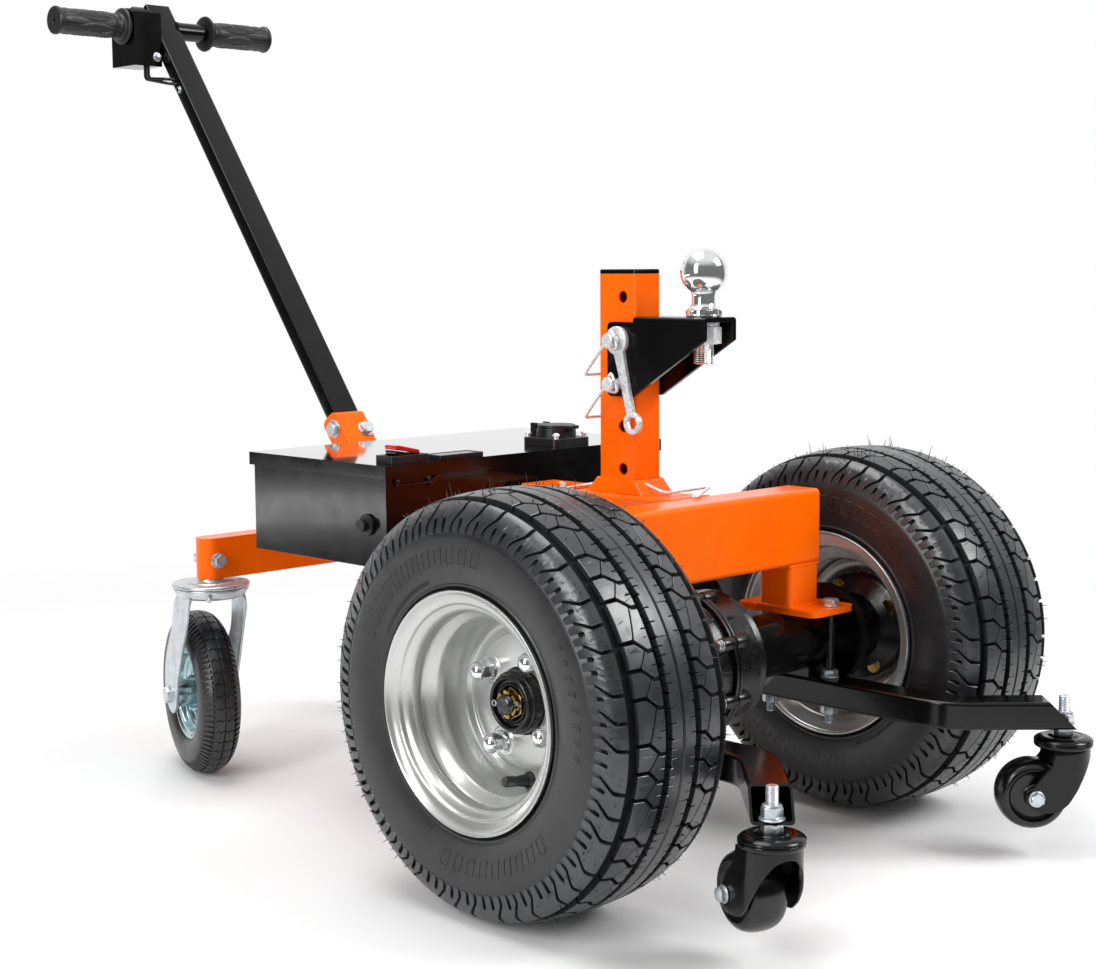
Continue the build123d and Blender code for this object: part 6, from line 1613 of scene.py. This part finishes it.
def frame_welds():
    """Beads round the top and the foot of each beam leg, and round the spine where it meets the beam."""
    beads = []
    front, back = AXLE_Y - 22.0, AXLE_Y + 22.0
    for x, far in ((-110.5, -161.5), (110.5, 161.5)):
        for y, z, radius in ((front + 0.5, 252.0, 2.4), (front + 1.2, 298.0, 1.8)):
            beads.append(weld([(x, y, z), (far, y, z), (far, back - 0.5, z), (x, back - 0.5, z)], radius))
    spine_y = 28.5 + AXLE_Y
    beads.append(weld([(-30, spine_y, 323.0), (-30, spine_y, 380.0), (30, spine_y, 380.0),
                       (30, spine_y, 323.0)]))
    return soften(joined("frame_welds", *beads), 60)


def foot_wires():
    """Sprung wire bows lying on the frame before and behind the mast's foot."""
    front = [(-12, 85, 394), (-12, 70, 390), (-9.9, 56.8, 385.4), (0, 57.6, 384.6), (40, 62, 384.2),
             (68, 65.2, 384.2), (72, 63, 384.2), (66, 59, 384.2), (34, 39, 384), (3, 19, 383.6),
             (-3, 16, 383.6), (-4, 20, 383.6)]
    rear = [(10, 147, 394), (12, 160, 388), (17, 178, 384.4), (12, 182.4, 384.2), (-20, 178, 384.2),
            (-50, 173.6, 384.2), (-54, 175, 384.2), (-50, 180, 384.2), (-20, 198, 384.2),
            (-13, 206, 384.2), (-12, 215, 384.2)]
    wires = [bent_wire("bow", [(x, y + AXLE_Y, z) for x, y, z in path], 1.7) for path in (front, rear)]
    return soften(joined("foot_wires", *wires), 50)


finish_piece(frame_welds(), "chassis", "orange_powder_coat", orange_coat)
finish_piece(foot_wires(), "chassis", "zinc_plate", satin_nickel)


# Studio: a pale floor that runs out of view and a white surround behind the machine, dark behind the camera
VIEW_TURN = 0.7726
BACKDROP = (math.sin(VIEW_TURN), math.cos(VIEW_TURN), 0.0)
DARK_ROOM = 0.06
CEILING = 0.8
SHADE_LIGHT = 0.45
WHITE = (1, 1, 1, 1)

# Lamps: name, place, aim, size and power
LAMPS = (("key", (1.6, -2.6, 2.6), (0, 0, 0.35), (1.6, 1.6), 92),
         ("top", (-0.4, 0.4, 3), (0, 0, 0.2), (2.4, 1.4), 48),
         ("left", (-2.6, -0.4, 1.3), (0, -0.1, 0.35), (0.7, 2), 42),
         ("strip", (-1.39, 1.57, 0.116), (-0.218, 0.03, 0.3615), (1.8, 0.075), 2.6))


def math_node(tree, operation, first, second):
    return add_node(tree, "ShaderNodeMath", {"operation": operation},
                    {0: first, 1: second}).outputs["Value"]


def smooth_step(tree, value, start, end, low=0.0, high=1.0):
    return add_node(tree, "ShaderNodeMapRange", {"interpolation_type": "SMOOTHSTEP"},
                    {"Value": value, "From Min": start, "From Max": end, "To Min": low,
                     "To Max": high}).outputs["Result"]


def room_tone(tree, path, direction):
    """White for the camera, and for gloss a dark room with a bright backdrop and ceiling."""
    toward = add_node(tree, "ShaderNodeVectorMath", {"operation": "NORMALIZE"}, {0: direction})
    tones = []
    for axis, *tone in ((BACKDROP, 0.18, 0.62, DARK_ROOM, 1.0), ((0, 0, 1), 0.3, 0.85, 0.0, CEILING)):
        along = add_node(tree, "ShaderNodeVectorMath", {"operation": "DOT_PRODUCT"},
                         {0: toward.outputs["Vector"], 1: axis})
        tones.append(smooth_step(tree, along.outputs["Value"], *tone))
    return math_node(tree, "MAXIMUM", path.outputs["Is Camera Ray"], math_node(tree, "MAXIMUM", *tones))


def studio_floor():
    """White paper floor, lit near the machine and glowing like the surround far from it."""
    floor = settle(primitive(bpy.ops.mesh.primitive_plane_add, size=24.0, location=(0, 0, 0)))
    floor.name = "floor"
    material, tree, shader = new_material("pale_floor", "#f4f4f4", 0.9, Specular_IOR_Level=0.1)
    path = add_node(tree, "ShaderNodeLightPath")
    place = add_node(tree, "ShaderNodeTexCoord").outputs["Object"]
    glow = add_node(tree, "ShaderNodeEmission",
                    links={"Color": WHITE, "Strength": room_tone(tree, path, place)})
    centred = add_node(tree, "ShaderNodeMapping", links={"Vector": place, "Scale": (0.62, 0.55, 1)})
    far = add_node(tree, "ShaderNodeVectorMath", {"operation": "LENGTH"}, {0: centred.outputs["Vector"]})
    seen = math_node(tree, "MAXIMUM", path.outputs["Is Camera Ray"], path.outputs["Is Glossy Ray"])
    both = math_node(tree, "MULTIPLY", smooth_step(tree, far.outputs["Value"], 0.55, 1.15), seen)
    mix = add_node(tree, "ShaderNodeMixShader", links={0: both, 1: shader.outputs["BSDF"],
                                                       2: glow.outputs["Emission"]})
    tree.links.new(mix.outputs["Shader"], tree.nodes["Material Output"].inputs["Surface"])
    give(floor, material)


def studio_surround():
    """White surround for the camera, glass and gloss, and an even light for everything else."""
    world = bpy.data.worlds.new("studio")
    bpy.context.scene.world = world
    world.use_nodes = True
    tree = world.node_tree
    tree.nodes.clear()
    path = add_node(tree, "ShaderNodeLightPath")
    place = add_node(tree, "ShaderNodeTexCoord")
    tone = room_tone(tree, path, place.outputs["Generated"])
    seen = math_node(tree, "MAXIMUM", path.outputs["Is Camera Ray"], path.outputs["Is Glossy Ray"])
    seen = math_node(tree, "MAXIMUM", seen, path.outputs["Is Transmission Ray"])
    even = add_node(tree, "ShaderNodeBackground", links={"Color": WHITE, "Strength": SHADE_LIGHT})
    white = add_node(tree, "ShaderNodeBackground", links={"Color": WHITE, "Strength": tone})
    mix = add_node(tree, "ShaderNodeMixShader", links={0: seen, 1: even.outputs["Background"],
                                                       2: white.outputs["Background"]})
    out = add_node(tree, "ShaderNodeOutputWorld")
    tree.links.new(mix.outputs["Shader"], out.inputs["Surface"])


def studio_lamps():
    for name, place, aim, size, power in LAMPS:
        lamp = bpy.data.lights.new(name, "AREA")
        lamp.shape = "RECTANGLE"
        lamp.size, lamp.size_y = size
        lamp.energy = power
        item = bpy.data.objects.new(name, lamp)
        item.location = place
        item.rotation_euler = (Vector(aim) - Vector(place)).to_track_quat("-Z", "Y").to_euler()
        bpy.context.collection.objects.link(item)


# Camera: where it stands, its tilt, and the photograph's focal length and width in pixels
CAMERA_PLACE = (-1.5229, -1.6834, 0.6304)
VIEW_DOWN = 0.1148
VIEW_ROLL = -0.00717
FOCAL_PIXELS = 1894.8
PHOTO_WIDTH = 1096
SENSOR = 36.0


def camera():
    """The photograph's viewpoint: a 62 mm lens, a little above the machine's middle, at its front right."""
    lens = bpy.data.cameras.new("view")
    lens.sensor_width = SENSOR
    lens.lens = FOCAL_PIXELS * SENSOR / PHOTO_WIDTH
    lens.clip_end = 60.0
    item = bpy.data.objects.new("view", lens)
    bpy.context.collection.objects.link(item)
    yaw, pitch, roll = VIEW_TURN, VIEW_DOWN, VIEW_ROLL
    forward = Vector((math.sin(yaw) * math.cos(pitch), math.cos(yaw) * math.cos(pitch), -math.sin(pitch)))
    right = Vector((math.cos(yaw), -math.sin(yaw), 0.0))
    up = right.cross(forward)
    across = right * math.cos(roll) + up * math.sin(roll)
    upward = up * math.cos(roll) - right * math.sin(roll)
    axes = Matrix((across, upward, -forward)).transposed().to_4x4()
    item.matrix_world = Matrix.Translation(CAMERA_PLACE) @ axes
    bpy.context.scene.camera = item


studio_floor()
studio_surround()
studio_lamps()
camera()
bpy.context.scene.view_settings.view_transform = "Standard"
